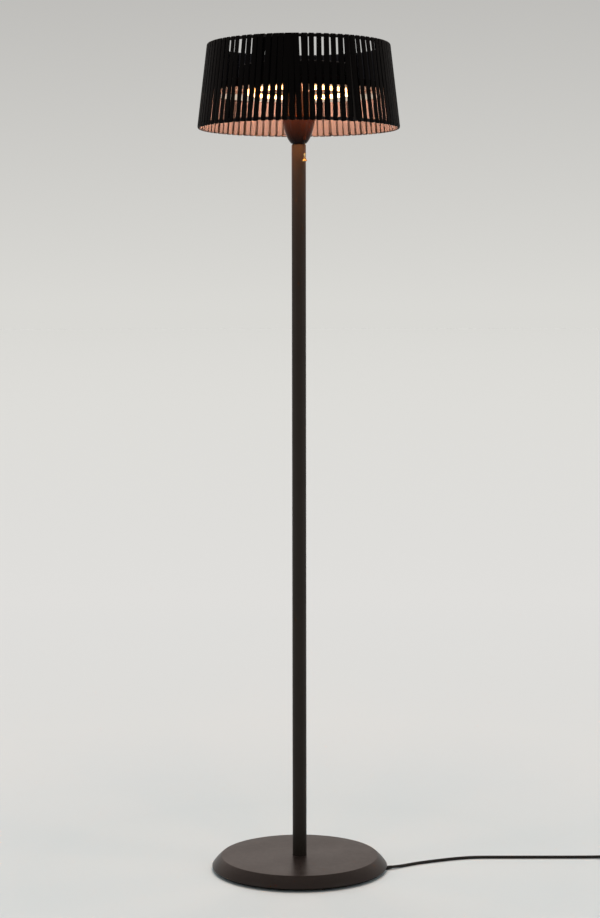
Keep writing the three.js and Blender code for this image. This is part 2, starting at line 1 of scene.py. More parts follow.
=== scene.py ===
import bpy
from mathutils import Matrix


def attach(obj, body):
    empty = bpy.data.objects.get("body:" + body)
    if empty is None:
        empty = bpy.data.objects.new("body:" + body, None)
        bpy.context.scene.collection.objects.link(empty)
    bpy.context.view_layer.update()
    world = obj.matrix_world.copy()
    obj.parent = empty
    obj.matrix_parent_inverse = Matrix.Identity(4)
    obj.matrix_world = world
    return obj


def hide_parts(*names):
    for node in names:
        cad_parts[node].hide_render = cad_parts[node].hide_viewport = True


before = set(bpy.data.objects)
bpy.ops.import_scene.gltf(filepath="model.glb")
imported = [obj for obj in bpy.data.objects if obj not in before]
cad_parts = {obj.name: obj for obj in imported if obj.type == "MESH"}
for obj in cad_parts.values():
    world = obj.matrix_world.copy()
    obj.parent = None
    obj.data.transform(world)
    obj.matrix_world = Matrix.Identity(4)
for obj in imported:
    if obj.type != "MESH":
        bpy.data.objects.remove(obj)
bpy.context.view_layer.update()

import bpy, bmesh, math, random
from mathutils import Matrix, Vector

mm = 0.001
scene = bpy.context.scene
print("frame loaded,", len(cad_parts), "nodes")


# a closed skin over a row of rings, each ring a list of points; loop joins the last ring to the first
def skinRings(name, rings, loop=False):
    mesh = bpy.data.meshes.new(name)
    size, count = len(rings[0]), len(rings)
    verts = [point for ring in rings for point in ring]
    faces = []
    for r in range(count if loop else count - 1):
        for k in range(size):
            a, b = r * size + k, r * size + (k + 1) % size
            step = size if r < count - 1 else -r * size
            faces.append((a, b, b + step, a + step))
    if not loop:
        faces.append(tuple(reversed(range(size))))
        faces.append(tuple(range((count - 1) * size, count * size)))
    mesh.from_pydata([tuple(v) for v in verts], [], faces)
    return finishMesh(name, mesh)


sharpFrom = math.radians(38)


def finishMesh(name, mesh):
    fixer = bmesh.new()
    fixer.from_mesh(mesh)
    bmesh.ops.recalc_face_normals(fixer, faces=fixer.faces)
    fixer.to_mesh(mesh)
    fixer.free()
    mesh.shade_smooth()
    mesh.set_sharp_from_angle(angle=sharpFrom)
    piece = bpy.data.objects.new(name, mesh)
    scene.collection.objects.link(piece)
    return piece


def arcPoints(start, control, end, steps):
    a, b, c = Vector(start), Vector(control), Vector(end)
    places = [s / steps for s in range(steps + 1)]
    return [tuple(a * (1 - t) ** 2 + b * 2 * t * (1 - t) + c * t ** 2) for t in places]


onAxis = 1e-7  # a profile point nearer to the axis than this is on it


# rounds the corners of a profile; points on the axis and gentle bends stay
def softened(profile, radius, steps=3, gentle=25):
    result = []
    for i, corner in enumerate(profile):
        here, before, after = Vector(corner), Vector(profile[i - 1]), Vector(profile[(i + 1) % len(profile)])
        toBefore, toAfter = before - here, after - here
        if corner[0] < onAxis or toBefore.angle(-toAfter, 0) < math.radians(gentle):
            result.append(corner)
            continue
        reach = min(radius, 0.45 * toBefore.length, 0.45 * toAfter.length)
        start, end = here + toBefore.normalized() * reach, here + toAfter.normalized() * reach
        result += arcPoints(start, here, end, steps)
    return result


def inMm(profile):
    return [(radius * mm, height * mm) for radius, height in profile]


# a turned piece: the profile lists (radius, height); one that starts on the axis also ends there
def turnedPiece(name, profile, sides, place=None):
    mesh = bpy.data.meshes.new(name)
    verts, rows = [], []
    turns = [2 * math.pi * k / sides for k in range(sides)]
    for radius, height in profile:
        if radius < onAxis:
            rows.append([len(verts)] * sides)
            verts.append((0, 0, height))
        else:
            rows.append(range(len(verts), len(verts) + sides))
            verts += [(radius * math.cos(turn), radius * math.sin(turn), height) for turn in turns]
    faces = []
    for i in range(len(rows) - 1 if profile[0][0] < onAxis else len(rows)):
        low, high = rows[i], rows[(i + 1) % len(rows)]
        for k in range(sides):
            n = (k + 1) % sides
            corners = []
            for v in (low[k], low[n], high[n], high[k]):
                if v not in corners:
                    corners.append(v)
            if len(corners) > 2:
                faces.append(corners)
    mesh.from_pydata(verts, [], faces)
    piece = finishMesh(name, mesh)
    if place:
        piece.data.transform(place)
    return piece


# takes the cutter out of the piece
def cutAway(piece, cutter):
    hole = piece.modifiers.new("hole", "BOOLEAN")
    hole.operation, hole.solver, hole.object = "DIFFERENCE", "EXACT", cutter
    bpy.context.view_layer.update()
    shape = bpy.data.meshes.new_from_object(piece.evaluated_get(bpy.context.evaluated_depsgraph_get()))
    piece.modifiers.clear()
    piece.data = shape
    shape.set_sharp_from_angle(angle=sharpFrom)
    bpy.data.objects.remove(cutter)


def moved(x, y, z):
    return Matrix.Translation((x, y, z))


# an upright hole, with all measures in millimetres
def drillUp(piece, radius, x, y, low, length, sides):
    shape = inMm([(0, 0), (radius, 0), (radius, length), (0, length)])
    cutAway(piece, turnedPiece("drill", shape, sides, moved(x * mm, y * mm, low * mm)))


def outward(angle):
    return Vector((math.cos(angle), math.sin(angle), 0))


def sideways(angle):
    return Vector((-math.sin(angle), math.cos(angle), 0))


def settle(piece, material, nodes, body="stand"):
    piece.data.materials.append(material)
    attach(piece, body)
    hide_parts(*nodes)


# gives a CAD node its finish, with soft edges where it has some
def dress(node, material, edge=0.0):
    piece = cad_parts[node]
    if not piece.material_slots:
        piece.data.materials.append(material)
    for slot in piece.material_slots:
        slot.material = material
    if edge:
        soft = piece.modifiers.new("softEdges", "BEVEL")
        soft.width, soft.segments = edge, 2
        soft.limit_method, soft.angle_limit = "ANGLE", math.radians(40)


def newGroup(name, inputs, outputs):
    group = bpy.data.node_groups.new(name, "ShaderNodeTree")
    for label, kind, value in inputs:
        socket = group.interface.new_socket(name=label, in_out="INPUT", socket_type=kind)
        socket.default_value = value
    for label, kind in outputs:
        group.interface.new_socket(name=label, in_out="OUTPUT", socket_type=kind)
    return group, group.nodes.new("NodeGroupInput"), group.nodes.new("NodeGroupOutput")


def addNode(tree, kind, values=None, **settings):
    node = tree.nodes.new(kind)
    for key, value in settings.items():
        setattr(node, key, value)
    for key, value in (values or {}).items():
        node.inputs[key].default_value = value
    return node


# each link is a node and its output, then a node and its input
def join(tree, links):
    for source, output, target, socket in links:
        tree.links.new(source.outputs[output], target.inputs[socket])


def setInputs(node, values):
    for key, value in values.items():
        node.inputs[key].default_value = (*value, 1) if isinstance(value, tuple) else value


number, colour = "NodeSocketFloat", "NodeSocketColor"


# powder coat, plastic and rubber: fine orange peel with broad soft patches
def buildSkinGrain():
    group, given, out = newGroup("skinGrain", [
        ("Tone", colour, (0.05, 0.05, 0.05, 1)), ("Patch Tone", colour, (0.04, 0.04, 0.04, 1)),
        ("Grain Scale", number, 900), ("Patch Scale", number, 9),
        ("Rough Low", number, 0.4), ("Rough High", number, 0.55)],
        [("Color", colour), ("Roughness", number), ("Height", number)])
    place = addNode(group, "ShaderNodeTexCoord")
    grain = addNode(group, "ShaderNodeTexNoise", {"Detail": 3, "Roughness": 0.6})
    patch = addNode(group, "ShaderNodeTexNoise", {"Detail": 4, "Roughness": 0.55})
    tone = addNode(group, "ShaderNodeMix", data_type="RGBA")
    spread = addNode(group, "ShaderNodeMapRange", {"From Min": 0.32, "From Max": 0.68})
    rough = addNode(group, "ShaderNodeMapRange")
    blend = addNode(group, "ShaderNodeMath", {1: 0.35}, operation="MULTIPLY_ADD")
    join(group, [
        (place, "Object", grain, "Vector"), (given, "Grain Scale", grain, "Scale"),
        (place, "Object", patch, "Vector"), (given, "Patch Scale", patch, "Scale"),
        (patch, "Fac", spread, "Value"), (spread, "Result", tone, "Factor"), (given, "Tone", tone, 6),
        (given, "Patch Tone", tone, 7), (grain, "Fac", blend, 0), (spread, "Result", blend, 2),
        (blend, 0, rough, "Value"), (given, "Rough Low", rough, "To Min"),
        (given, "Rough High", rough, "To Max"), (tone, 2, out, "Color"), (rough, "Result", out, "Roughness"),
        (grain, "Fac", out, "Height")])
    return group


# spun and drawn metal: fine lines that run one way, with dull patches
def buildDrawnLines():
    group, given, out = newGroup("drawnLines", [
        ("Tone", colour, (0.6, 0.6, 0.6, 1)), ("Line Tone", colour, (0.5, 0.5, 0.5, 1)),
        ("Across", number, 1600), ("Along", number, 30),
        ("Rough Low", number, 0.15), ("Rough High", number, 0.35)],
        [("Color", colour), ("Roughness", number), ("Height", number)])
    place = addNode(group, "ShaderNodeTexCoord")
    parts = addNode(group, "ShaderNodeSeparateXYZ")
    radius = addNode(group, "ShaderNodeVectorMath", operation="LENGTH")
    flat = addNode(group, "ShaderNodeVectorMath", {1: (1, 1, 0)}, operation="MULTIPLY")
    angle = addNode(group, "ShaderNodeMath", operation="ARCTAN2")
    acrossAt, heightAt, alongAt = (addNode(group, "ShaderNodeMath", operation="MULTIPLY") for k in range(3))
    lineAt = addNode(group, "ShaderNodeCombineXYZ")
    lines = addNode(group, "ShaderNodeTexNoise", {"Scale": 1.0, "Detail": 3, "Roughness": 0.7})
    dull = addNode(group, "ShaderNodeTexNoise", {"Scale": 22, "Detail": 4})
    tone = addNode(group, "ShaderNodeMix", data_type="RGBA")
    rough = addNode(group, "ShaderNodeMapRange", {"From Min": 0.3, "From Max": 0.7})
    join(group, [
        (place, "Object", parts, 0), (place, "Object", flat, 0), (flat, "Vector", radius, 0),
        (parts, "Y", angle, 0), (parts, "X", angle, 1), (radius, "Value", acrossAt, 0),
        (given, "Across", acrossAt, 1), (parts, "Z", heightAt, 0), (given, "Across", heightAt, 1),
        (angle, 0, alongAt, 0), (given, "Along", alongAt, 1), (acrossAt, 0, lineAt, "X"),
        (alongAt, 0, lineAt, "Y"), (heightAt, 0, lineAt, "Z"), (lineAt, 0, lines, "Vector"),
        (place, "Object", dull, "Vector"), (lines, "Fac", tone, "Factor"), (given, "Tone", tone, 6),
        (given, "Line Tone", tone, 7), (dull, "Fac", rough, "Value"), (given, "Rough Low", rough, "To Min"),
        (given, "Rough High", rough, "To Max"), (tone, 2, out, "Color"), (rough, "Result", out, "Roughness"),
        (lines, "Fac", out, "Height")])
    return group


# a thin film of dust on whatever faces up
def buildTopDust():
    group, given, out = newGroup("topDust", [
        ("Color", colour, (0.05, 0.05, 0.05, 1)), ("Dust Tone", colour, (0.3, 0.28, 0.26, 1)),
        ("Amount", number, 0.1), ("Scale", number, 60)], [("Color", colour)])
    place = addNode(group, "ShaderNodeTexCoord")
    surface = addNode(group, "ShaderNodeNewGeometry")
    parts = addNode(group, "ShaderNodeSeparateXYZ")
    upward = addNode(group, "ShaderNodeMapRange", {"From Min": 0.6, "From Max": 1.0})
    specks = addNode(group, "ShaderNodeTexNoise", {"Detail": 6, "Roughness": 0.7})
    spread = addNode(group, "ShaderNodeMapRange", {"From Min": 0.42, "From Max": 0.72})
    both = addNode(group, "ShaderNodeMath", operation="MULTIPLY")
    share = addNode(group, "ShaderNodeMath", operation="MULTIPLY")
    tone = addNode(group, "ShaderNodeMix", data_type="RGBA")
    join(group, [
        (surface, "Normal", parts, 0), (parts, "Z", upward, "Value"), (place, "Object", specks, "Vector"),
        (given, "Scale", specks, "Scale"), (specks, "Fac", spread, "Value"), (upward, "Result", both, 0),
        (spread, "Result", both, 1), (both, 0, share, 0), (given, "Amount", share, 1),
        (share, 0, tone, "Factor"), (given, "Color", tone, 6), (given, "Dust Tone", tone, 7),
        (tone, 2, out, "Color")])
    return group


# flat wound cord: fine ridges along it, slow waves, and painted lamp light: a lighter tone on the side that
# faces the lamp
def buildStrandRidges():
    group, given, out = newGroup("strandRidges", [
        ("Tone", colour, (0.01, 0.01, 0.01, 1)), ("Painted Lamp Light Tone", colour, (0.05, 0.03, 0.02, 1)),
        ("Ridges", number, 900), ("Waves", number, 30),
        ("Rough Low", number, 0.3), ("Rough High", number, 0.5)],
        [("Color", colour), ("Roughness", number), ("Height", number)])
    run = addNode(group, "ShaderNodeUVMap", uv_map="strandRun")
    place = addNode(group, "ShaderNodeTexCoord")
    inside = addNode(group, "ShaderNodeAttribute", attribute_name="paintedLampLight")
    stretch = addNode(group, "ShaderNodeVectorMath", operation="MULTIPLY")
    scales = addNode(group, "ShaderNodeCombineXYZ")
    ridges = addNode(group, "ShaderNodeTexNoise", {"Scale": 1.0, "Detail": 2, "Roughness": 0.5})
    mottle = addNode(group, "ShaderNodeTexNoise", {"Scale": 260, "Detail": 4, "Roughness": 0.6})
    rough = addNode(group, "ShaderNodeMapRange", {"From Min": 0.3, "From Max": 0.7})
    tone = addNode(group, "ShaderNodeMix", data_type="RGBA")
    height = addNode(group, "ShaderNodeMath", {1: 0.4}, operation="MULTIPLY_ADD")
    join(group, [
        (inside, "Fac", tone, "Factor"), (given, "Tone", tone, 6), (given, "Painted Lamp Light Tone", tone, 7),
        (given, "Waves", scales, "X"), (given, "Ridges", scales, "Y"), (run, "UV", stretch, 0),
        (scales, 0, stretch, 1), (stretch, "Vector", ridges, "Vector"), (place, "Object", mottle, "Vector"),
        (mottle, "Fac", rough, "Value"), (given, "Rough Low", rough, "To Min"),
        (given, "Rough High", rough, "To Max"), (mottle, "Fac", height, 0), (ridges, "Fac", height, 2),
        (tone, 2, out, "Color"), (rough, "Result", out, "Roughness"), (height, 0, out, "Height")])
    return group


skinGrain, drawnLines, topDust, strandRidges = (
    buildSkinGrain(), buildDrawnLines(), buildTopDust(), buildStrandRidges())


# a material whose colour, roughness and bump come from one of the groups
def makeFinish(name, group, looks, bump=0.1, depth=0.0004, dust=None, **shaderValues):
    material = bpy.data.materials.new(name)
    material.use_nodes = True
    tree = material.node_tree
    shader = tree.nodes["Principled BSDF"]
    effect = addNode(tree, "ShaderNodeGroup", node_tree=group)
    setInputs(effect, looks)
    bumps = addNode(tree, "ShaderNodeBump", {"Strength": bump, "Distance": depth})
    toned = effect.outputs["Color"]
    if dust:
        film = addNode(tree, "ShaderNodeGroup", node_tree=topDust)
        setInputs(film, dust)
        tree.links.new(toned, film.inputs["Color"])
        toned = film.outputs["Color"]
    tree.links.new(toned, shader.inputs["Base Color"])
    join(tree, [(effect, "Roughness", shader, "Roughness"), (effect, "Height", bumps, "Height"),
                (bumps, "Normal", shader, "Normal")])
    for key, value in shaderValues.items():
        shader.inputs[key.replace("_", " ")].default_value = value
    return material


basePaint = makeFinish("basePaint", skinGrain, {
    "Tone": (0.0105, 0.0075, 0.0065), "Patch Tone": (0.009, 0.0065, 0.0055),
    "Grain Scale": 1100, "Patch Scale": 7,
    "Rough Low": 0.28, "Rough High": 0.35}, bump=0.05, dust={"Dust Tone": (0.2, 0.18, 0.17), "Amount": 0.08},
    Specular_IOR_Level=0.175)
polePaint = makeFinish("polePaint", skinGrain, {
    "Tone": (0.0135, 0.0095, 0.006), "Patch Tone": (0.0115, 0.008, 0.005),
    "Grain Scale": 1300, "Patch Scale": 12,
    "Rough Low": 0.4, "Rough High": 0.5}, bump=0.1, Specular_IOR_Level=0.2)
shadePaint = makeFinish("shadePaint", skinGrain, {
    "Tone": (0.005, 0.0042, 0.0038), "Patch Tone": (0.0035, 0.003, 0.0027),
    "Grain Scale": 1300, "Patch Scale": 15,
    "Rough Low": 0.45, "Rough High": 0.6}, bump=0.1, dust={"Dust Tone": (0.16, 0.15, 0.14), "Amount": 0.05},
    Specular_IOR_Level=0.12)
bronzeLacquer = makeFinish("bronzeLacquer", skinGrain, {
    "Tone": (0.0056, 0.002, 0.0012), "Patch Tone": (0.0042, 0.0015, 0.0009),
    "Grain Scale": 700, "Patch Scale": 20,
    "Rough Low": 0.1, "Rough High": 0.18}, bump=0.03, Specular_IOR_Level=0.07)
# flat black paint for the column and the dish's back; on the base's lower lip it is painted shadow
flatBlackAndShadow = makeFinish("flatBlackAndShadow", skinGrain, {
    "Tone": (0.006, 0.0036, 0.0032), "Patch Tone": (0.0025, 0.0016, 0.0014),
    "Grain Scale": 900, "Patch Scale": 220,
    "Rough Low": 0.5, "Rough High": 0.8}, bump=0.6, Specular_IOR_Level=0.0)
zincPlate = makeFinish("zincPlate", drawnLines, {
    "Tone": (0.5, 0.5, 0.48), "Line Tone": (0.4, 0.4, 0.39), "Rough Low": 0.3, "Rough High": 0.5},
    bump=0.08, depth=0.0002, Metallic=1.0)
castSkin = makeFinish("castSkin", skinGrain, {
    "Tone": (0.06, 0.057, 0.055), "Patch Tone": (0.04, 0.036, 0.033),
    "Grain Scale": 500, "Patch Scale": 30,
    "Rough Low": 0.6, "Rough High": 0.85}, bump=0.5, Metallic=0.5)
# painted lamp glow: the mirror's warm tone stands for the lamp's orange light in it
mirrorDish = makeFinish("mirrorDish", drawnLines, {
    "Tone": (0.84, 0.72, 0.6), "Line Tone": (0.78, 0.65, 0.53), "Across": 900.0, "Along": 12.0,
    "Rough Low": 0.1, "Rough High": 0.2}, bump=0.03, depth=0.0001, Metallic=1.0)
polishedBrass = makeFinish("polishedBrass", drawnLines, {
    "Tone": (0.83, 0.6, 0.27), "Line Tone": (0.74, 0.5, 0.2), "Rough Low": 0.12, "Rough High": 0.24},
    bump=0.03, depth=0.0001, Metallic=1.0)
holderCeramic = makeFinish("holderCeramic", skinGrain, {
    "Tone": (0.1, 0.09, 0.08), "Patch Tone": (0.07, 0.06, 0.055),
    "Grain Scale": 1500, "Patch Scale": 60,
    "Rough Low": 0.55, "Rough High": 0.75}, bump=0.15)
softRubber = makeFinish("softRubber", skinGrain, {
    "Tone": (0.007, 0.0067, 0.0064), "Patch Tone": (0.01, 0.0095, 0.009),
    "Grain Scale": 1600, "Patch Scale": 40,
    "Rough Low": 0.6, "Rough High": 0.8}, bump=0.15, Specular_IOR_Level=0.25)
cordSheath = makeFinish("cordSheath", skinGrain, {
    "Tone": (0.006, 0.0055, 0.005), "Patch Tone": (0.009, 0.008, 0.007),
    "Grain Scale": 1400, "Patch Scale": 25,
    "Rough Low": 0.5, "Rough High": 0.65}, bump=0.1, Specular_IOR_Level=0.25)
mouldedPlastic = makeFinish("mouldedPlastic", skinGrain, {
    "Tone": (0.014, 0.013, 0.0125), "Patch Tone": (0.017, 0.016, 0.015),
    "Grain Scale": 2200, "Patch Scale": 50,
    "Rough Low": 0.4, "Rough High": 0.55}, bump=0.18)
# the cord's lighter tone on its lamp side is painted lamp light
woundCord = makeFinish("woundCord", strandRidges, {
    "Tone": (0.0012, 0.001, 0.001), "Painted Lamp Light Tone": (0.035, 0.033, 0.04),
    "Rough Low": 0.45, "Rough High": 0.65}, bump=0.25, depth=0.0003, Specular_IOR_Level=0.03)


def glowFinish(name, color, strength, roughness, transmission=0.0):
    duller = tuple(0.8 * part for part in color)
    material = makeFinish(name, drawnLines, {
        "Tone": color, "Line Tone": duller, "Across": 400.0,
        "Rough Low": roughness, "Rough High": roughness + 0.08}, bump=0.02)
    shader = material.node_tree.nodes["Principled BSDF"]
    shader.inputs["Transmission Weight"].default_value = transmission
    shader.inputs["Emission Color"].default_value = (*color, 1)
    shader.inputs["Emission Strength"].default_value = strength
    return material


quartzGlow = glowFinish("quartzGlow", (1.0, 0.6, 0.22), 5.5, 0.05, 0.3)
filamentGlow = glowFinish("filamentGlow", (1.0, 0.62, 0.2), 7.5, 0.5)
print("finishes made,", len(bpy.data.materials), "materials")

view = {"place": (0.0022, -5.2374, 1.4494), "pitch": 85.73, "roll": -0.07, "lens": 81.0, "sensor": 36.0,
        "farthest": 300}


def setCamera():
    data = bpy.data.cameras.new("photoView")
    data.lens, data.sensor_width, data.sensor_fit = view["lens"], view["sensor"], "AUTO"
    data.clip_end = view["farthest"]
    camera = bpy.data.objects.new("photoView", data)
    scene.collection.objects.link(camera)
    pitch = Matrix.Rotation(math.radians(view["pitch"]), 4, "X")
    roll = Matrix.Rotation(math.radians(view["roll"]), 4, "Z")
    camera.matrix_world = Matrix.Translation(view["place"]) @ (pitch @ roll)
    scene.camera = camera


studio = {
    "domeLow": 0.38, "domeHigh": 0.62,  # light from the horizon and from straight above
    "wallHorizon": (0.702, 0.695, 0.665), "wallTop": (0.52, 0.513, 0.494), "wallTopAt": 0.145,
    "ceiling": (1.0, 0.84, 0.76), "ceilingFrom": 0.16, "ceilingFull": 0.3,
    "floorSize": 120, "floorThick": 0.02,
    # the floor's tone by distance in metres, darker and bluer near the heater: painted shade against the
    # lamp's warm light that falls there
    "floorTones": ((0.7, (0.58, 0.644, 0.657)), (1.1, (0.625, 0.675, 0.682)), (1.9, (0.712, 0.732, 0.722)),
                   (5, (0.797, 0.789, 0.768)), (25, (0.787, 0.779, 0.748)), (110, (0.758, 0.750, 0.718))),
    "sun": 2.05, "sunSpread": 55, "sunFrom": (-0.3, 3.6, 4.2),
    "sideBox": 5.0, "sideBoxAt": (2.6, -1.2, 1.7), "sideBoxAim": (0, 0, 1.5), "sideBoxSize": (0.5, 2.2),
    "lampWatts": 38.0, "lampColor": (1.0, 0.5, 0.27), "lampPoints": 8, "lampPointSize": 0.006,
    "lampHeight": 1.963, "lampRing": 0.118,
}


def setWorld():
    world = bpy.data.worlds.new("studioAir")
    scene.world = world
    world.use_nodes = True
    tree = world.node_tree
    tree.nodes.clear()
    out = addNode(tree, "ShaderNodeOutputWorld")
    seen = addNode(tree, "ShaderNodeBackground")
    dome = addNode(tree, "ShaderNodeBackground")
    pick = addNode(tree, "ShaderNodeMixShader")
    path = addNode(tree, "ShaderNodeLightPath")
    either = addNode(tree, "ShaderNodeMath", operation="MAXIMUM")
    anyOf = addNode(tree, "ShaderNodeMath", operation="MAXIMUM")
    place = addNode(tree, "ShaderNodeTexCoord")
    parts = addNode(tree, "ShaderNodeSeparateXYZ")
    wall = addNode(tree, "ShaderNodeMapRange", {"From Min": 0.0, "From Max": studio["wallTopAt"]})
    wallTone = addNode(tree, "ShaderNodeMix", {6: (*studio["wallHorizon"], 1), 7: (*studio["wallTop"], 1)},
                       data_type="RGBA")
    above = addNode(tree, "ShaderNodeMapRange", {"From Min": studio["ceilingFrom"],
                                                 "From Max": studio["ceilingFull"]})
    airTone = addNode(tree, "ShaderNodeMix", {7: (*studio["ceiling"], 1)}, data_type="RGBA")
    rise = addNode(tree, "ShaderNodeMapRange", {"To Min": studio["domeLow"], "To Max": studio["domeHigh"]})
    join(tree, [
        (place, "Generated", parts, 0), (parts, "Z", wall, "Value"), (wall, "Result", wallTone, "Factor"),
        (parts, "Z", above, "Value"), (above, "Result", airTone, "Factor"), (wallTone, 2, airTone, 6),
        (airTone, 2, seen, "Color"), (parts, "Z", rise, "Value"), (rise, "Result", dome, "Strength"),
        (path, "Is Camera Ray", either, 0), (path, "Is Glossy Ray", either, 1), (either, 0, anyOf, 0),
        (path, "Is Transmission Ray", anyOf, 1), (anyOf, 0, pick, "Fac"), (dome, 0, pick, 1),
        (seen, 0, pick, 2), (pick, 0, out, "Surface")])


def setFloor():
    wide, thick, tones = studio["floorSize"], studio["floorThick"], studio["floorTones"]
    floor = turnedPiece("studioFloor", [(0, -thick), (wide, -thick), (wide, 0), (0, 0)], 64)
    material = bpy.data.materials.new("studioFloor")
    material.use_nodes = True
    tree = material.node_tree
    shader = tree.nodes["Principled BSDF"]
    shader.inputs["Roughness"].default_value = 0.9
    shader.inputs["Specular IOR Level"].default_value = 0.0
    surface = addNode(tree, "ShaderNodeNewGeometry")
    away = addNode(tree, "ShaderNodeVectorMath", operation="LENGTH")
    # distances run from near to far on a logarithmic scale
    scale = addNode(tree, "ShaderNodeMath", {1: 10.0}, operation="LOGARITHM")
    near, far = math.log10(tones[0][0]), math.log10(tones[-1][0])
    spread = addNode(tree, "ShaderNodeMapRange", {"From Min": near, "From Max": far})
    tone = addNode(tree, "ShaderNodeValToRGB")
    stops = tone.color_ramp.elements
    for place, (distance, color) in enumerate(tones):
        at = (math.log10(distance) - near) / (far - near)
        stop = stops.new(at) if 0 < place < len(tones) - 1 else stops[0 if place == 0 else -1]
        stop.position, stop.color = at, (*color, 1)
    join(tree, [(surface, "Position", away, 0), (away, "Value", scale, 0), (scale, 0, spread, "Value"),
                (spread, "Result", tone, "Fac"), (tone, "Color", shader, "Base Color")])
    floor.data.materials.append(material)


def addLight(name, kind, place, watts, color=(1, 1, 1), aim=None, **settings):
    data = bpy.data.lights.new(name, kind)
    data.energy, data.color = watts, color
    for key, value in settings.items():
        setattr(data, key, value)
    light = bpy.data.objects.new(name, data)
    light.location = place
    if aim is not None:
        light.rotation_euler = (Vector(aim) - Vector(place)).to_track_quat("-Z", "Y").to_euler()
    scene.collection.objects.link(light)
    return light


def setLights():
    sun = addLight("overheadSun", "SUN", studio["sunFrom"], studio["sun"], aim=(0, 0, 0),
                   angle=math.radians(studio["sunSpread"]))
    sun.visible_glossy = False
    (aside, ahead, high), (wide, tall) = studio["sideBoxAt"], studio["sideBoxSize"]
    for side, x in (("left", -aside), ("right", aside)):
        box = addLight(side + "Softbox", "AREA", (x, ahead, high), studio["sideBox"],
                       aim=studio["sideBoxAim"], shape="RECTANGLE", size=wide, size_y=tall)
        box.visible_camera = False
    ring, points = studio["lampRing"], studio["lampPoints"]
    for k in range(points):  # the lamp's own light, just below its tube
        angle = 2 * math.pi * (k + 0.5) / points - math.pi / 2
        place = (ring * math.cos(angle), ring * math.sin(angle), studio["lampHeight"])
        glow = addLight("lampGlow%d" % k, "POINT", place, studio["lampWatts"] / points, studio["lampColor"],
                        shadow_soft_size=studio["lampPointSize"])
        glow.visible_camera = glow.visible_glossy = False


setCamera()
setWorld()
setFloor()
setLights()
scene.view_settings.view_transform = "Standard"
print("camera, floor and lights set")


# the cord runs over the floor to a coil of spare length, with the plug beside it
mains = {
    "radius": 3.75 * mm, "length": 1.846,
    "run": [(237.6, -10.8, 5.4), (245, -6.9, 5.2), (258, 1, 4.5), (270, 9, 4), (290, 22, 4), (315, 36, 4),
            (345, 50, 4), (375, 63, 4), (405, 74.5, 4), (430, 82, 4), (455, 86.8, 4), (485, 88.7, 4),
            (530, 88.7, 4), (590, 88.7, 4), (650, 88.7, 4), (710, 88.7, 4), (770, 88.7, 4.3),
            (815, 88.7, 5.1), (835.4, 88.7, 5.25)],
    "coilCentre": (862, 43.7), "outer": 45, "inner": 37.5, "low": 5.25, "layer": 7.5,
    # where each stretch of the coil ends, in degrees after it starts, with its radius and layer there
    "stretches": [(250, "outer", 0), (300, "inner", 0), (570, "inner", 0), (610, "inner", 1),
                  (870, "inner", 1), (920, "outer", 1), (1190, "outer", 1), (1230, "outer", 2),
                  (1530, "outer", 2)],
    "pointEvery": 15, "tail": [(907, 17.4, 20.25), (907, 0, 19.9), (907, -18, 19.4), (907, -30, 19.3)],
}


def coilPoints():
    cx, cy = mains["coilCentre"]
    points, before, radius, level = [], 0, mains["outer"], 0
    for end, ringName, nextLevel in mains["stretches"]:
        nextRadius = mains[ringName]
        steps = max(2, round((end - before) / mains["pointEvery"]))
        for s in range(steps):
            t = s / steps
            ease = t * t * (3 - 2 * t)
            angle = math.radians(90 - before - (end - before) * t)
            r = radius + (nextRadius - radius) * ease
            z = mains["low"] + mains["layer"] * (level + (nextLevel - level) * ease)
            points.append((cx + r * math.cos(angle), cy + r * math.sin(angle), z))
        before, radius, level = end, nextRadius, nextLevel
    points.append((cx + radius, cy, mains["low"] + mains["layer"] * level))
    return points


def makeCord():
    data = bpy.data.curves.new("mainsCord", "CURVE")
    data.dimensions = "3D"
    data.bevel_depth, data.bevel_resolution, data.resolution_u = mains["radius"], 4, 6
    data.use_fill_caps = True
    line = data.splines.new("BEZIER")
    route = mains["run"] + coilPoints() + mains["tail"]
    line.bezier_points.add(len(route) - 1)
    for point, place in zip(line.bezier_points, route):
        point.co = Vector(place) * mm
        point.handle_left_type = point.handle_right_type = "AUTO"
    cord = bpy.data.objects.new("mainsCordRun", data)
    scene.collection.objects.link(cord)
    settle(cord, cordSheath, ["mains_cord", "cord_coil", "cord_tail"])
    return cord


mainsCordRun = makeCord()

tie = {"width": 10, "sheet": 0.8, "clearance": 0.35, "angle": 200, "middle": 41.25, "low": 1.5,
       "halfWide": 7.5, "halfHigh": 11.25, "corner": 3.2, "fit": 0.94,
       # the strap's section, in shares of its thickness and its width
       "section": ((0, -0.5), (0.25, -0.53), (0.75, -0.53), (1, -0.47), (1, 0), (1, 0.47), (0.75, 0.53),
                   (0.25, 0.53), (0, 0.5), (0.06, 0))}


# a soft strap round all the turns
def makeTie():
    halfWide, halfHigh = tie["halfWide"] + tie["clearance"], tie["halfHigh"] + tie["clearance"]
    corner, rings = tie["corner"], []
    for cornerX, cornerZ, first in ((1, 1, 0), (-1, 1, 90), (-1, -1, 180), (1, -1, 270)):
        for s in range(7):
            angle = math.radians(first + 15 * s)
            nx, nz = math.cos(angle), math.sin(angle)
            x, z = cornerX * (halfWide - corner) + corner * nx, cornerZ * (halfHigh - corner) + corner * nz
            ring = []
            for depth, across in tie["section"]:
                out = depth * tie["sheet"]
                ring.append(Vector((x + nx * out, across * tie["width"] * tie["fit"], z + nz * out)) * mm)
            rings.append(ring)
    band = skinRings("cordTieBand", rings, loop=True)
    cx, cy = mains["coilCentre"]
    turn = math.radians(tie["angle"])
    middle = Vector((cx + tie["middle"] * math.cos(turn), cy + tie["middle"] * math.sin(turn),
                     tie["low"] + tie["halfHigh"])) * mm
    band.data.transform(Matrix.Translation(middle) @ Matrix.Rotation(turn, 4, "Z"))
    settle(band, softRubber, ["cord_tie"])
    return band


cordTieBand = makeTie()

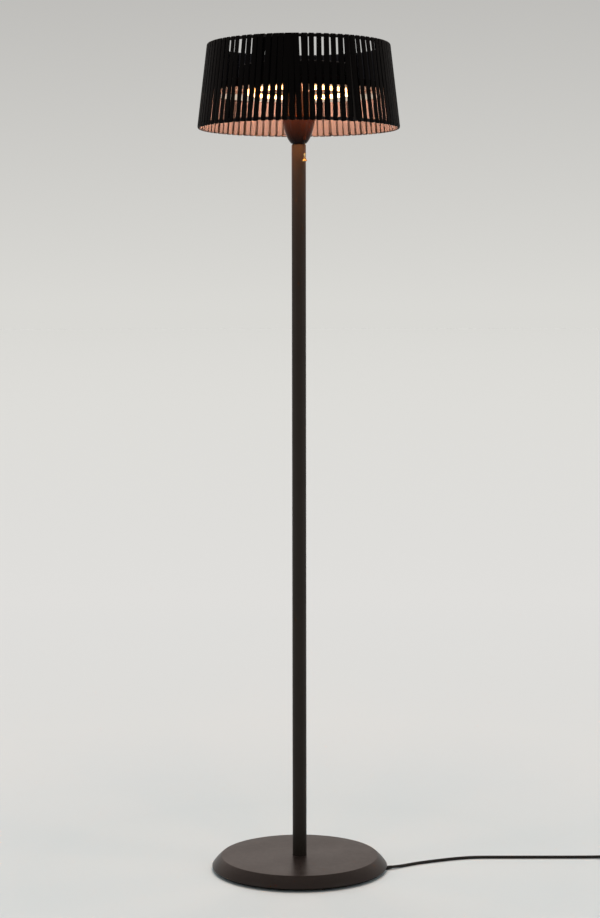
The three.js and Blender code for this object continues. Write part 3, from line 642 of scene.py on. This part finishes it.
plug = {"start": (907, -27.88, 19.3), "boot": 22, "body": 34, "radius": 19, "bootRadius": 6, "round": 3,
        "grooves": 5, "mouth": 4.2, "pinRadius": 2.4, "pinLength": 19, "pinSpacing": 19, "pinGap": 0.3,
        "sleeve": 8, "barePin": 0.93,
        # the finger grip: how far the body stands in, and how high above the boot
        "grip": ((0, 14), (1.6, 17), (2, 21), (1.6, 25), (0, 28))}


def makePlug():
    boot, end, root = plug["boot"], plug["boot"] + plug["body"], plug["bootRadius"]
    full, bend = plug["radius"], plug["round"]
    profile = [(0, 0), (plug["mouth"], 0), (root - 0.4, 0.2)]
    rib = (boot - 2) / plug["grooves"]
    for g in range(plug["grooves"]):  # ribs of the boot
        low = 1.2 + g * rib
        wide = root + bend * low / boot
        profile += [(wide, low), (wide + 0.2, low + 0.5 * rib), (wide - 0.9, low + 0.62 * rib),
                    (wide - 0.9, low + 0.9 * rib)]
    profile += [(root + bend, boot), (full - 2.2 * bend, boot + 0.8 * bend), (full - bend, boot + 1.6 * bend),
                (full - 0.2 * bend, boot + 2.6 * bend), (full, boot + 3.6 * bend)]
    profile += [(full - inward, boot + up) for inward, up in plug["grip"]]
    profile += [(full, end - 1.2), (full - 1.2, end), (full - 4, end), (full - 4.4, end - 0.4)]
    profile.append((0, end - 0.4))
    place = Matrix.Translation(Vector(plug["start"]) * mm) @ Matrix.Rotation(math.pi / 2, 4, "X")
    body = turnedPiece("plugBody", inMm(softened(profile, 0.5)), 72, place)
    settle(body, mouldedPlastic, ["plug_body"])
    pins, r, length = [], plug["pinRadius"], plug["pinLength"]
    bare = r * plug["barePin"]
    shape = [(0, 0), (r, 0), (r, plug["sleeve"]), (bare, plug["sleeve"] + 0.2), (bare, length - 1.6),
             (r * 0.86, length - 0.7), (r * 0.5, length - 0.1), (0, length)]
    for side, number in ((-1, 1), (1, 2)):
        start = Vector(plug["start"]) + Vector((side * plug["pinSpacing"] / 2, -end - plug["pinGap"], 0))
        pin = turnedPiece("plugPin%d" % number, inMm(shape), 32,
                          Matrix.Translation(start * mm) @ Matrix.Rotation(math.pi / 2, 4, "X"))
        settle(pin, polishedBrass, ["plug_pin_%d" % number])
        pins.append(pin)
    return [body, *pins]


plugPieces = makePlug()

relief = {"height": 5.4, "heading": 28, "rimRadius": 225.4, "rimAngle": -4.5, "inside": 16, "outside": 14,
          "root": 4.8, "tip": 4.1, "ribs": 4, "groove": 0.45}


# where the cord crosses the rim
def rimSpot():
    across = math.radians(relief["rimAngle"])
    return relief["rimRadius"] * math.cos(across), relief["rimRadius"] * math.sin(across), relief["height"]


def makeRelief():
    inside, outside, root, tip = relief["inside"], relief["outside"], relief["root"], relief["tip"]
    profile = [(0, 0), (root, 0), (root, inside - 1)]
    step = (outside - 1) / relief["ribs"]
    for k in range(relief["ribs"]):
        low = inside + k * step
        wide = root + (tip - root) * (low - inside) / outside
        thin = wide - relief["groove"]
        profile += [(thin, low), (thin, low + 0.3 * step)]
        profile += [(wide, low + 0.42 * step), (wide, low + 0.9 * step)]
    profile += [(tip, inside + outside), (0, inside + outside)]
    heading = math.radians(relief["heading"])
    x, y, z = rimSpot()
    start = Vector((x - inside * math.cos(heading), y - inside * math.sin(heading), z))
    place = (Matrix.Translation(start * mm) @ Matrix.Rotation(heading, 4, "Z")
             @ Matrix.Rotation(math.pi / 2, 4, "Y"))
    sleeve = turnedPiece("strainReliefSleeve", inMm(softened(profile, 0.25, 2)), 40, place)
    settle(sleeve, softRubber, ["strain_relief"])


makeRelief()
print("cord laid")


# paintedShadowBelow: below this height the cover's outside is painted black as shadow under the rim
base = {"height": 35.6, "topRadius": 201.4, "rimRadius": 225.4, "rimHeight": 10, "rimTuck": 3, "bulge": 2,
        "sheet": 2, "foot": 5, "hole": 18.3, "flatRings": (150, 90, 40), "paintedShadowBelow": 7.5,
        "notchWide": 10.8, "notchHalfLong": 30, "notchDrop": 9,
        "footRadius": 14, "footCircle": 185, "footGroove": 0.6, "sides": 180}


def makeCover():
    top, rim, high, low = base["topRadius"], base["rimRadius"], base["height"], base["rimHeight"]
    sheet, hole = base["sheet"], base["hole"]
    control = ((top + rim) / 2 + base["bulge"], (high + low) / 2 + base["bulge"])
    side = arcPoints((rim, low), control, (top, high), 14)
    inside = [(r - sheet, z - sheet * (z > low)) for r, z in reversed(side)]
    lip = rim - base["rimTuck"]
    lower = arcPoints((lip, base["foot"] + 0.6), (rim - 0.2, low - 2.6), (rim, low), 5)
    profile = [(lip - sheet, base["foot"]), (lip - 0.5, base["foot"])] + lower[:-1] + side[:-1]
    profile += arcPoints((top + 0.9, high - 0.75), (top, high), (top - 1.6, high), 4)
    profile += [(r, high) for r in base["flatRings"]] + [(hole + 0.5, high), (hole, high - 0.5)]
    profile += [(hole, high - sheet)] + inside
    cover = turnedPiece("baseCover", inMm(profile), base["sides"])
    half = base["notchWide"] / 2
    arch = [(half * math.cos(math.pi * k / 16), half * math.sin(math.pi * k / 16)) for k in range(17)]
    arch += [(-half, -base["notchDrop"]), (half, -base["notchDrop"])]
    reach = base["notchHalfLong"]
    cutter = skinRings("reliefCut", [[Vector((x, y, z)) * mm for y, z in arch] for x in (-reach, reach)])
    heading = math.radians(relief["heading"])
    cutter.data.transform(Matrix.Translation(Vector(rimSpot()) * mm) @ Matrix.Rotation(heading, 4, "Z"))
    cutAway(cover, cutter)
    settle(cover, basePaint, ["base_cover"])
    cover.data.materials.append(flatBlackAndShadow)
    for face in cover.data.polygons:  # black inside, and below the rim a black band of painted shadow
        facing = face.normal.x * face.center.x + face.normal.y * face.center.y
        shadowBandOrInside = face.center.z < base["paintedShadowBelow"] * mm or (facing < -1e-4 and face.normal.z < 0.1)
        face.material_index = 1 if shadowBandOrInside else 0


def makeFeet():
    r, h, up, circle = base["footRadius"], base["foot"], base["footGroove"], base["footCircle"] * mm
    shape = [(0, 0), (r - 3, 0), (r - 3, up), (r - 1.4, up), (r - 1.4, 0), (r, 0), (r, h), (0, h)]
    shape = softened(shape, 0.4)
    for number in (1, 2, 3, 4):
        angle = math.radians(90 * number - 45)
        foot = turnedPiece("foot%d" % number, inMm(shape), 48,
                           moved(circle * math.cos(angle), circle * math.sin(angle), 0))
        settle(foot, softRubber, ["foot_%d" % number])


makeCover()
makeFeet()
dress("base_plate", zincPlate, 0.0004)
dress("ballast_plate", castSkin, 0.0006)
dress("pole_flange", zincPlate, 0.0005)
dress("tilt_switch", mouldedPlastic, 0.0006)
dress("supply_lead", cordSheath)
for screwNumber in (1, 2, 3):
    dress("flange_screw_%d" % screwNumber, zincPlate, 0.0004)
print("base made")


pole = {"radius": 18, "wall": 1.5, "foot": 23.9, "top": 1850, "levels": 24, "sides": 72}


def makePole():
    r, inner, low, high = pole["radius"], pole["radius"] - pole["wall"], pole["foot"], pole["top"]
    profile = [(inner, low), (r, low)]
    profile += [(r, low + (high - 0.5 - low) * k / pole["levels"]) for k in range(1, pole["levels"] + 1)]
    profile += [(r - 0.15, high - 0.15), (r - 0.5, high), (inner, high)]
    tube = turnedPiece("poleTube", inMm(profile), pole["sides"])
    settle(tube, polePaint, ["pole"])


makePole()
dress("pole_top_plug", shadePaint, 0.0004)
dress("stem", zincPlate)

cup = {"z": 1853.3, "foot": 19.4, "rim": 42.5, "height": 72, "flare": (38, 20), "sheet": 2, "hole": 8.3,
       "mouth": 30.5, "bore": 4.3, "sides": 96, "columnRadius": 34.5, "columnWall": 2, "columnLength": 77.1,
       "columnGap": 0.3}
pull = {"at": (14.5, -24), "cord": 1, "clearance": 0.3, "ferrule": 4, "tip": 1860, "ferruleLength": 34,
        "pendantTop": 1828, "pendantHeight": 20, "pendantRadius": 7, "neck": 2.2,
        # the two plies of the cord: turns in all, the middle of their reach and how far it varies
        "twists": 26, "plyReach": 0.72, "plyVaries": 0.24}


def makeCup():
    fx, fz = cup["flare"]
    foot, rim, high, sheet = cup["foot"], cup["rim"], cup["height"], cup["sheet"]
    outside = arcPoints((foot, 0.6), (fx, fz), (rim, high - 1.2), 22)
    inside = arcPoints((foot - sheet, sheet), (fx - sheet, fz + sheet), (rim - sheet, high - 2.2), 18)
    profile = [(cup["hole"], 0), (foot - 0.6, 0)] + outside
    profile += [(rim - 0.3, high - 0.3), (rim - 1, high), (cup["mouth"], high), (cup["mouth"], high - sheet)]
    profile += inside[::-1] + [(cup["hole"], sheet)]
    bowl = turnedPiece("cupBowl", inMm(profile), cup["sides"], moved(0, 0, cup["z"] * mm))
    drillUp(bowl, cup["bore"], *pull["at"], cup["z"] - 10, 50, 32)
    settle(bowl, bronzeLacquer, ["cup"])
    r, wall, length = cup["columnRadius"], cup["columnWall"], cup["columnLength"]
    shape = softened([(r - wall, 0), (r, 0), (r, length), (r - wall, length)], 0.5)
    column = turnedPiece("columnTube", inMm(shape), 80,
                         moved(0, 0, (cup["z"] + high + cup["columnGap"]) * mm))
    settle(column, flatBlackAndShadow, ["column"])


def makePull():
    x, y = pull["at"]
    r, bore, length = pull["ferrule"], pull["cord"] + pull["clearance"], pull["ferruleLength"]
    shape = [(bore, 0), (r - 0.8, 0), (r, 0.8), (r, 2.6), (r - 0.5, 3), (r - 0.5, 3.6), (r, 4), (r, length),
             (bore, length)]
    ferrule = turnedPiece("switchFerrule", inMm(shape), 40, moved(x * mm, y * mm, pull["tip"] * mm))
    settle(ferrule, bronzeLacquer, ["switch_ferrule"])
    high, wide, neck = pull["pendantHeight"], pull["pendantRadius"], pull["neck"]
    bell = arcPoints((wide, 0.9), (neck, high * 0.35), (neck, high * 0.82), 14)
    shape = [(0, 0.5), (wide - 1.8, 0.5), (wide - 1.2, 0), (wide - 0.4, 0), (wide, 0.4)] + bell
    shape += [(neck + 0.35, high * 0.86), (neck + 0.35, high * 0.91), (neck * 0.85, high * 0.95),
              (neck * 0.6, high), (0, high)]
    pendant = turnedPiece("pullPendant", inMm(shape), 48,
                          moved(x * mm, y * mm, (pull["pendantTop"] - high) * mm))
    settle(pendant, polishedBrass, ["pull_pendant"], body="pull")
    low, top = pull["pendantTop"] + pull["clearance"], pull["tip"] + length - pull["clearance"]
    steps, around, rings = pull["twists"] * 5, [2 * math.pi * k / 10 for k in range(10)], []
    for s in range(steps + 1):  # a twisted two-ply cord
        z = low + (top - low) * s / steps
        twist = 2 * math.pi * pull["twists"] * s / steps
        ring = []
        for a in around:
            out = pull["plyReach"] + pull["plyVaries"] * abs(math.cos(a - twist))
            ring.append(Vector(((x + out * math.cos(a)) * mm, (y + out * math.sin(a)) * mm, z * mm)))
        rings.append(ring)
    line = skinRings("pullCordLine", rings)
    settle(line, cordSheath, ["pull_cord"], body="pull")


makeCup()
makePull()
dress("switch_body", mouldedPlastic, 0.0006)
print("pole and cup made")


dish = {"z": 2003, "sheet": 1.2, "rim": 231.5, "depth": 25, "flat": 175, "bend": 8, "hole": 8.3,
        "flatRings": (60, 120), "holderBore": 4.3, "sides": 180}
lid = {"z": 2006.8, "radius": 150, "height": 38, "sheet": 1.2, "round": 5, "flatRings": (90, 40),
       "finialZ": 2045.1, "finialRadius": 11, "finialHeight": 10}
lamp = {"z": 1981, "ring": 128, "tube": 5, "wall": 1.2, "gapHalf": 34, "inset": 6, "holderInset": 12,
        "around": 20, "steps": 150, "filament": 1.75, "wire": 0.35, "coilPitch": 3.4,
        "clips": (90, 205, 335), "clipWire": 1.2, "clipTop": 20.6}


def holderAngles():
    middle = math.degrees(math.atan2(lamp["gapHalf"] - lamp["holderInset"], lamp["ring"]))
    return -90 - middle, -90 + middle


def makeDish():
    rim, sheet, flat, depth, hole = dish["rim"], dish["sheet"], dish["flat"], dish["depth"], dish["hole"]
    bend = rim - sheet - dish["bend"]
    under = arcPoints((rim - sheet, -depth + 0.5), (bend - sheet, 0), (flat, 0), 18)[::-1]
    over = arcPoints((rim, -depth + 0.5), (bend, sheet), (flat, sheet), 18)
    profile = [(hole, 0)] + [(r, 0) for r in dish["flatRings"]] + under
    profile += [(rim - 0.8 * sheet, -depth), (rim - 0.2 * sheet, -depth)] + over
    profile += [(r, sheet) for r in reversed(dish["flatRings"])] + [(hole, sheet)]
    shell = turnedPiece("reflectorDish", inMm(profile), dish["sides"], moved(0, 0, dish["z"] * mm))
    for angle in holderAngles():
        place = math.radians(angle)
        drillUp(shell, dish["holderBore"], lamp["ring"] * math.cos(place), lamp["ring"] * math.sin(place),
                dish["z"] - 5, 10, 24)
    settle(shell, mirrorDish, ["reflector"])
    shell.data.materials.append(flatBlackAndShadow)
    for face in shell.data.polygons:  # the back of the dish is painted
        out = Vector((face.center.x, face.center.y, 0)).normalized()
        face.material_index = 1 if face.normal.z + face.normal.dot(out) > 0.05 else 0


def makeLid():
    r, h, sheet, bend, hole = lid["radius"], lid["height"], lid["sheet"], lid["round"], dish["hole"]
    widest, narrow = lid["flatRings"]
    edge = arcPoints((r, h - bend), (r, h), (r - bend, h), 6)
    innerEdge = arcPoints((r - bend, h - sheet), (r - sheet, h - sheet), (r - sheet, h - bend), 6)
    profile = [(r - sheet, 0), (r, 0)] + edge + [(widest, h), (narrow, h), (hole, h), (hole, h - sheet)]
    profile += [(widest, h - sheet)] + innerEdge
    cover = turnedPiece("topCoverLid", inMm(profile), 144, moved(0, 0, lid["z"] * mm))
    settle(cover, shadePaint, ["top_cover"])
    fr, fh = lid["finialRadius"], lid["finialHeight"]
    shape = [(0, fh / 2 + 0.3), (hole, fh / 2 + 0.3), (hole, 0), (fr - 0.4, 0), (fr, 0.4), (fr, fh / 2)]
    shape += arcPoints((fr - 0.2, fh / 2 + 0.5), (fr - 0.8, fh - 0.6), (fr * 0.62, fh - 0.15), 8)
    shape += [(fr * 0.3, fh), (0, fh)]
    knob = turnedPiece("finialKnob", inMm(shape), 56, moved(0, 0, lid["finialZ"] * mm))
    settle(knob, bronzeLacquer, ["finial_nut"])


# points round the lamp's ring, each offset outward and up from the tube's middle
def ringAt(angle, offsets):
    out = outward(angle)
    middle = out * lamp["ring"] + Vector((0, 0, lamp["z"]))
    return [(middle + out * a + Vector((0, 0, b))) * mm for a, b in offsets]


def circlePoints(radius, count):
    turns = [2 * math.pi * k / count for k in range(count)]
    return [(radius * math.cos(turn), radius * math.sin(turn)) for turn in turns]


def makeLamp():
    half = math.asin(lamp["gapHalf"] / lamp["ring"]) - lamp["inset"] / lamp["ring"]
    start, end = -math.pi / 2 + half, 1.5 * math.pi - half
    angles = [start + (end - start) * s / lamp["steps"] for s in range(lamp["steps"] + 1)]
    outer = circlePoints(lamp["tube"], lamp["around"])
    inner = circlePoints(lamp["tube"] - lamp["wall"], lamp["around"])
    rings = [ringAt(a, outer) for a in angles] + [ringAt(a, inner) for a in reversed(angles)]
    glass = skinRings("lampTubeGlass", rings, loop=True)
    settle(glass, quartzGlow, ["lamp_tube"])
    turns = round((end - start) * lamp["ring"] / lamp["coilPitch"])
    perTurn, rings, reach = 10, [], lamp["filament"] - lamp["wire"]
    for s in range(turns * perTurn + 1):
        angle = start + (end - start) * (s / (turns * perTurn))
        twist = 2 * math.pi * s / perTurn
        across, up = math.cos(twist), math.sin(twist)
        middle = ringAt(angle, [(reach * across, reach * up)])[0]
        away = Vector((math.cos(angle) * across, math.sin(angle) * across, up))
        along = sideways(angle)
        rings.append([middle + (away * a + along * b) * mm for a, b in circlePoints(lamp["wire"], 4)])
    wire = skinRings("lampFilamentCoil", rings)
    settle(wire, filamentGlow, ["lamp_filament"])


# each clip is a wire that comes down from the dish, goes round the tube and up again
def makeClips():
    wire, eye, top = lamp["clipWire"], lamp["tube"] + 0.3 + lamp["clipWire"], lamp["clipTop"]
    path = [(-1.2, top), (-1.2, eye + 3.5), (-1.6, eye + 1.8)]
    bends = [math.radians(a) for a in range(-20, -341, -16)]
    path += [(eye * math.sin(a), eye * math.cos(a)) for a in bends]
    path += [(1.6, eye + 1.8), (1.2, eye + 3.5), (1.2, top)]
    rings = []
    for i, (r, z) in enumerate(path):
        before, after = Vector(path[max(i - 1, 0)]), Vector(path[min(i + 1, len(path) - 1)])
        along = (after - before).normalized()
        rings.append([Vector((r + along.y * a, b, z - along.x * a)) * mm
                      for a, b in circlePoints(wire / 2, 10)])
    for number, angle in enumerate(lamp["clips"], 1):
        clip = skinRings("lampClip%d" % number, rings)
        turn, ring = math.radians(angle), lamp["ring"] * mm
        place = Matrix.Translation((ring * math.cos(turn), ring * math.sin(turn), lamp["z"] * mm))
        clip.data.transform(place @ Matrix.Rotation(turn, 4, "Z"))
        settle(clip, zincPlate, ["lamp_clip_%d" % number])


makeDish()
makeLid()
makeLamp()
makeClips()
for holderNumber in (1, 2):
    dress("lamp_holder_%d" % holderNumber, holderCeramic, 0.0009)
dress("terminal_block", mouldedPlastic, 0.0008)
dress("thermal_cutout", zincPlate, 0.0005)
dress("stem_nut", zincPlate, 0.0006)
print("reflector and lamp made")


# the shade: flat cord wound round two hoops, 88 turns
# paintedLightBehind is the share of painted lamp light on the inner face of the outer run
shade = {"z": 1890, "height": 210, "bottom": 255, "top": 229.7, "turns": 88, "thick": 1.4, "wide": 12.6,
         "rows": 8, "bend": 6, "wander": 0.45, "lean": 0.02, "seed": 7, "paintedLightBehind": 0.45,
         "hoopWide": 4.4, "hoopHigh": 8.3, "hoopSteps": 200, "hoopAround": 18, "hoopSlack": 0.1,
         "firstRib": -56, "ribWide": 18, "ribThick": 3.2, "ribEdge": 0.5, "ribLevels": (7, 40, 90, 140, 203),
         # how far the turns stand from even places, in degrees, at the bottom and at the top,
         # by the angle from the front
         "crowding": (
             (-64, -0.4, -0.4), (-52, 0, -0.1), (-44, 0.4, -0.35), (-39, -0.3, -0.35),
             (-34, 0.4, 1.2), (-30, -0.1, 0.3), (-25, -1.4, -0.1), (-18, -0.6, 0.9),
             (-12, -0.1, 0.3), (-8, -0.3, -0.35), (-4, -0.85, -1.0), (1, -1.0, -2.5),
             (4, -1.25, -2.4), (9, -2.0, -2.1), (13, -2.1, -1.2), (16, -1.85, -0.9),
             (24, -1.0, -0.2), (29, -0.5, 0.0), (34, 1.0, 0.2), (38, 1.9, 0.3),
             (42, 2.3, 0.4), (46, 2.6, 0.8), (50, 2.5, 1.3), (54, 1.8, 1.4),
             (60, 2.2, 1.0), (66, 1.5, 0.6), (80, 0, 0)),
         # how far the inner run is off, in places, at the bottom and at the top
         "innerShift": (
             (-180, -0.5, -0.5), (-172, -0.46, -0.46), (-165, -0.4, -0.4), (-150, -0.3, -0.3),
             (-140, -0.2, -0.2), (-130, -0.08, -0.08), (-120, 0.11, 0.11), (-62, -0.5, -0.5),
             (-50, -0.4, -0.4), (-40, -0.28, -0.28), (-31, -0.2, -0.2), (-28, -0.18, 0.26),
             (-20, -0.1, 0.34), (-17, -0.1, 0.14), (-13, -0.08, 0.3), (-9, -0.05, 0.2),
             (-6, -0.02, 0.26), (-2.5, 0, 0.3), (0.5, 0.02, 0.0), (3.5, 0.02, 0.04),
             (6, 0.03, 0.18), (9, 0.05, 0.05), (20, 0.12, 0.12), (26, 0.18, 0.18),
             (30, 0.5, 0.5), (35, 0.5, 0.5), (37.5, 0.28, 0.28), (41, 0.3, 0.3),
             (50, 0.4, 0.4), (60, 0.5, 0.5), (120, -0.11, -0.11), (130, 0.08, 0.08),
             (140, 0.2, 0.2), (150, 0.3, 0.3), (165, 0.4, 0.4), (172, 0.46, 0.46),
             (180, 0, 0))}


def skinRadius(height):
    return shade["bottom"] + (shade["top"] - shade["bottom"]) * height / shade["height"]


# the value in a column of the table, between the two knots round the given angle
def between(knots, at, column):
    for low, high in zip(knots, knots[1:]):
        if low[0] <= at <= high[0]:
            return low[column] + (high[column] - low[column]) * (at - low[0]) / (high[0] - low[0])
    return 0.0


def strandSection():
    half, thick = shade["wide"] / 2, shade["thick"] / 2
    top = [(half, 0.0), (half - 0.1, 0.55), (half - 0.45, 0.95), (half * 0.6, 1.0), (half * 0.2, 0.9)]
    upper = top + [(-a, b) for a, b in reversed(top)][:-1]
    return [(a, b * thick) for a, b in upper + [(-a, -b) for a, b in upper]]


# one turn: up the outside, over the top hoop, down the inside, under the bottom hoop;
# each station is a radius, a height, an angle and the direction that its outer face looks
def turnStations(outerLow, outerHigh, innerLow, innerHigh):
    halfWide = (shade["hoopWide"] + shade["thick"]) / 2
    halfHigh = (shade["hoopHigh"] + shade["thick"]) / 2
    lowZ = halfHigh + shade["thick"] / 2
    highZ = shade["height"] - lowZ
    inset = halfWide + shade["thick"] / 2
    rows, bend, stations = shade["rows"], shade["bend"], []
    for s in range(rows):
        t = s / rows
        z = lowZ + (highZ - lowZ) * t
        angle = outerLow + (outerHigh - outerLow) * t
        stations.append((skinRadius(z) - inset + halfWide, z, angle, (1, 0)))
    for s in range(bend):
        a = math.pi * s / bend
        x, y = math.cos(a), math.sin(a)
        stations.append((skinRadius(highZ) - inset + halfWide * x, highZ + halfHigh * y,
                         outerHigh + (innerHigh - outerHigh) * s / bend, (x / halfWide, y / halfHigh)))
    for s in range(rows):
        t = s / rows
        z = highZ + (lowZ - highZ) * t
        angle = innerHigh + (innerLow - innerHigh) * t
        stations.append((skinRadius(z) - inset - halfWide, z, angle, (-1, 0)))
    for s in range(bend):
        a = math.pi + math.pi * s / bend
        x, y = math.cos(a), math.sin(a)
        stations.append((skinRadius(lowZ) - inset + halfWide * x, lowZ + halfHigh * y,
                         innerLow + (outerLow - innerLow) * s / bend, (x / halfWide, y / halfHigh)))
    return stations


# the angles of one turn's outer and inner run, at the bottom and at the top
def turnAngles(place, pitch):
    front = (place + 90 + 180) % 360 - 180  # the angle from the front
    evenLow, evenTop = (between(shade["crowding"], front, column) for column in (1, 2))
    jitter = [random.uniform(-shade["wander"], shade["wander"]) for k in range(4)]
    shiftLow, shiftTop = (between(shade["innerShift"], front, column) for column in (1, 2))
    angles = (place + evenLow + jitter[0], place + evenTop + jitter[1],
              place + evenLow + shiftLow * pitch + jitter[2], place + evenTop + shiftTop * pitch + jitter[3])
    return [math.radians(a) for a in angles]


def windShade():
    random.seed(shade["seed"])
    pitch = 360 / shade["turns"]
    section = strandSection()
    size = len(section)
    across = [0.0]
    for k in range(size):
        across.append(across[-1] + (Vector(section[(k + 1) % size]) - Vector(section[k])).length * mm)
    verts, faces, runs, paintedLampLight = [], [], [], []
    for i in range(shade["turns"]):
        stations = turnStations(*turnAngles(shade["firstRib"] + i * pitch, pitch))
        lean, first = random.uniform(-shade["lean"], shade["lean"]), len(verts)
        travelled, last, along = random.uniform(0, 5), None, []
        for radius, z, angle, normal in stations:
            out, side = outward(angle), sideways(angle)
            middle = out * radius + Vector((0, 0, shade["z"] + z))
            up = (out * normal[0] + Vector((0, 0, normal[1]))).normalized()
            facing = up.dot(out)
            tilt = lean * abs(facing)
            verts += [(middle + side * a + up * (b + a * tilt)) * mm for a, b in section]
            # painted lamp light: the side towards the lamp is lighter, most of all on the inner run
            inside, behind = max(0.0, -facing), shade["paintedLightBehind"] * max(0.0, facing)
            paintedLampLight += [inside if b > 0 else behind for a, b in section]
            travelled += (middle - last).length * mm if last is not None else 0.0
            along.append(travelled)
            last = middle
        along.append(travelled + 0.003)
        count = len(stations)
        for r in range(count):
            here, onward = first + r * size, first + (r + 1) % count * size
            for k in range(size):
                n = (k + 1) % size
                faces.append((here + k, here + n, onward + n, onward + k))
                runs.append(((along[r], across[k]), (along[r], across[k + 1]),
                             (along[r + 1], across[k + 1]), (along[r + 1], across[k])))
    mesh = bpy.data.meshes.new("shadeWinding")
    mesh.from_pydata([tuple(v) for v in verts], [], faces)
    layer = mesh.uv_layers.new(name="strandRun")
    layer.data.foreach_set("uv", [value for face in runs for pair in face for value in pair])
    mesh.attributes.new("paintedLampLight", "FLOAT", "POINT").data.foreach_set("value", paintedLampLight)
    bundles = ["cord_wrap_%d" % number for number in range(1, 9)]
    settle(finishMesh("shadeWinding", mesh), woundCord, bundles)


def makeHoops():
    wide, high = shade["hoopWide"] / 2, shade["hoopHigh"] / 2
    level = high + shade["thick"]
    section = circlePoints(1, shade["hoopAround"])
    for node, height in (("bottom_hoop", level), ("top_hoop", shade["height"] - level)):
        radius = skinRadius(height) - wide - shade["thick"]
        rings = []
        for k in range(shade["hoopSteps"]):
            out = outward(2 * math.pi * k / shade["hoopSteps"])
            middle = out * radius + Vector((0, 0, shade["z"] + height))
            rings.append([(middle + out * x * (wide - shade["hoopSlack"])
                           + Vector((0, 0, y)) * (high - shade["hoopSlack"])) * mm for x, y in section])
        hoop = skinRings(node.replace("_h", "H"), rings, loop=True)
        settle(hoop, shadePaint, [node])


def makeRibs():
    half, thick, edge = shade["ribWide"] / 2, shade["ribThick"] / 2, shade["ribEdge"]
    section = [(half, -thick + edge), (half, thick - edge), (half - edge, thick), (edge - half, thick),
               (-half, thick - edge), (-half, -thick + edge), (edge - half, -thick), (half - edge, -thick)]
    inset = shade["hoopWide"] / 2 + shade["thick"]
    for number in (1, 2, 3, 4):
        angle = math.radians(shade["firstRib"] + 90 * (number - 1))
        out, side = outward(angle), sideways(angle)
        rings = []
        for z in shade["ribLevels"]:
            middle = out * (skinRadius(z) - inset) + Vector((0, 0, shade["z"] + z))
            rings.append([(middle + side * a + out * b) * mm for a, b in section])
        rib = skinRings("shadeRib%d" % number, rings)
        settle(rib, shadePaint, ["shade_rib_%d" % number])


windShade()
makeHoops()
makeRibs()
dress("shade_spider", shadePaint, 0.0004)
print("shade wound")
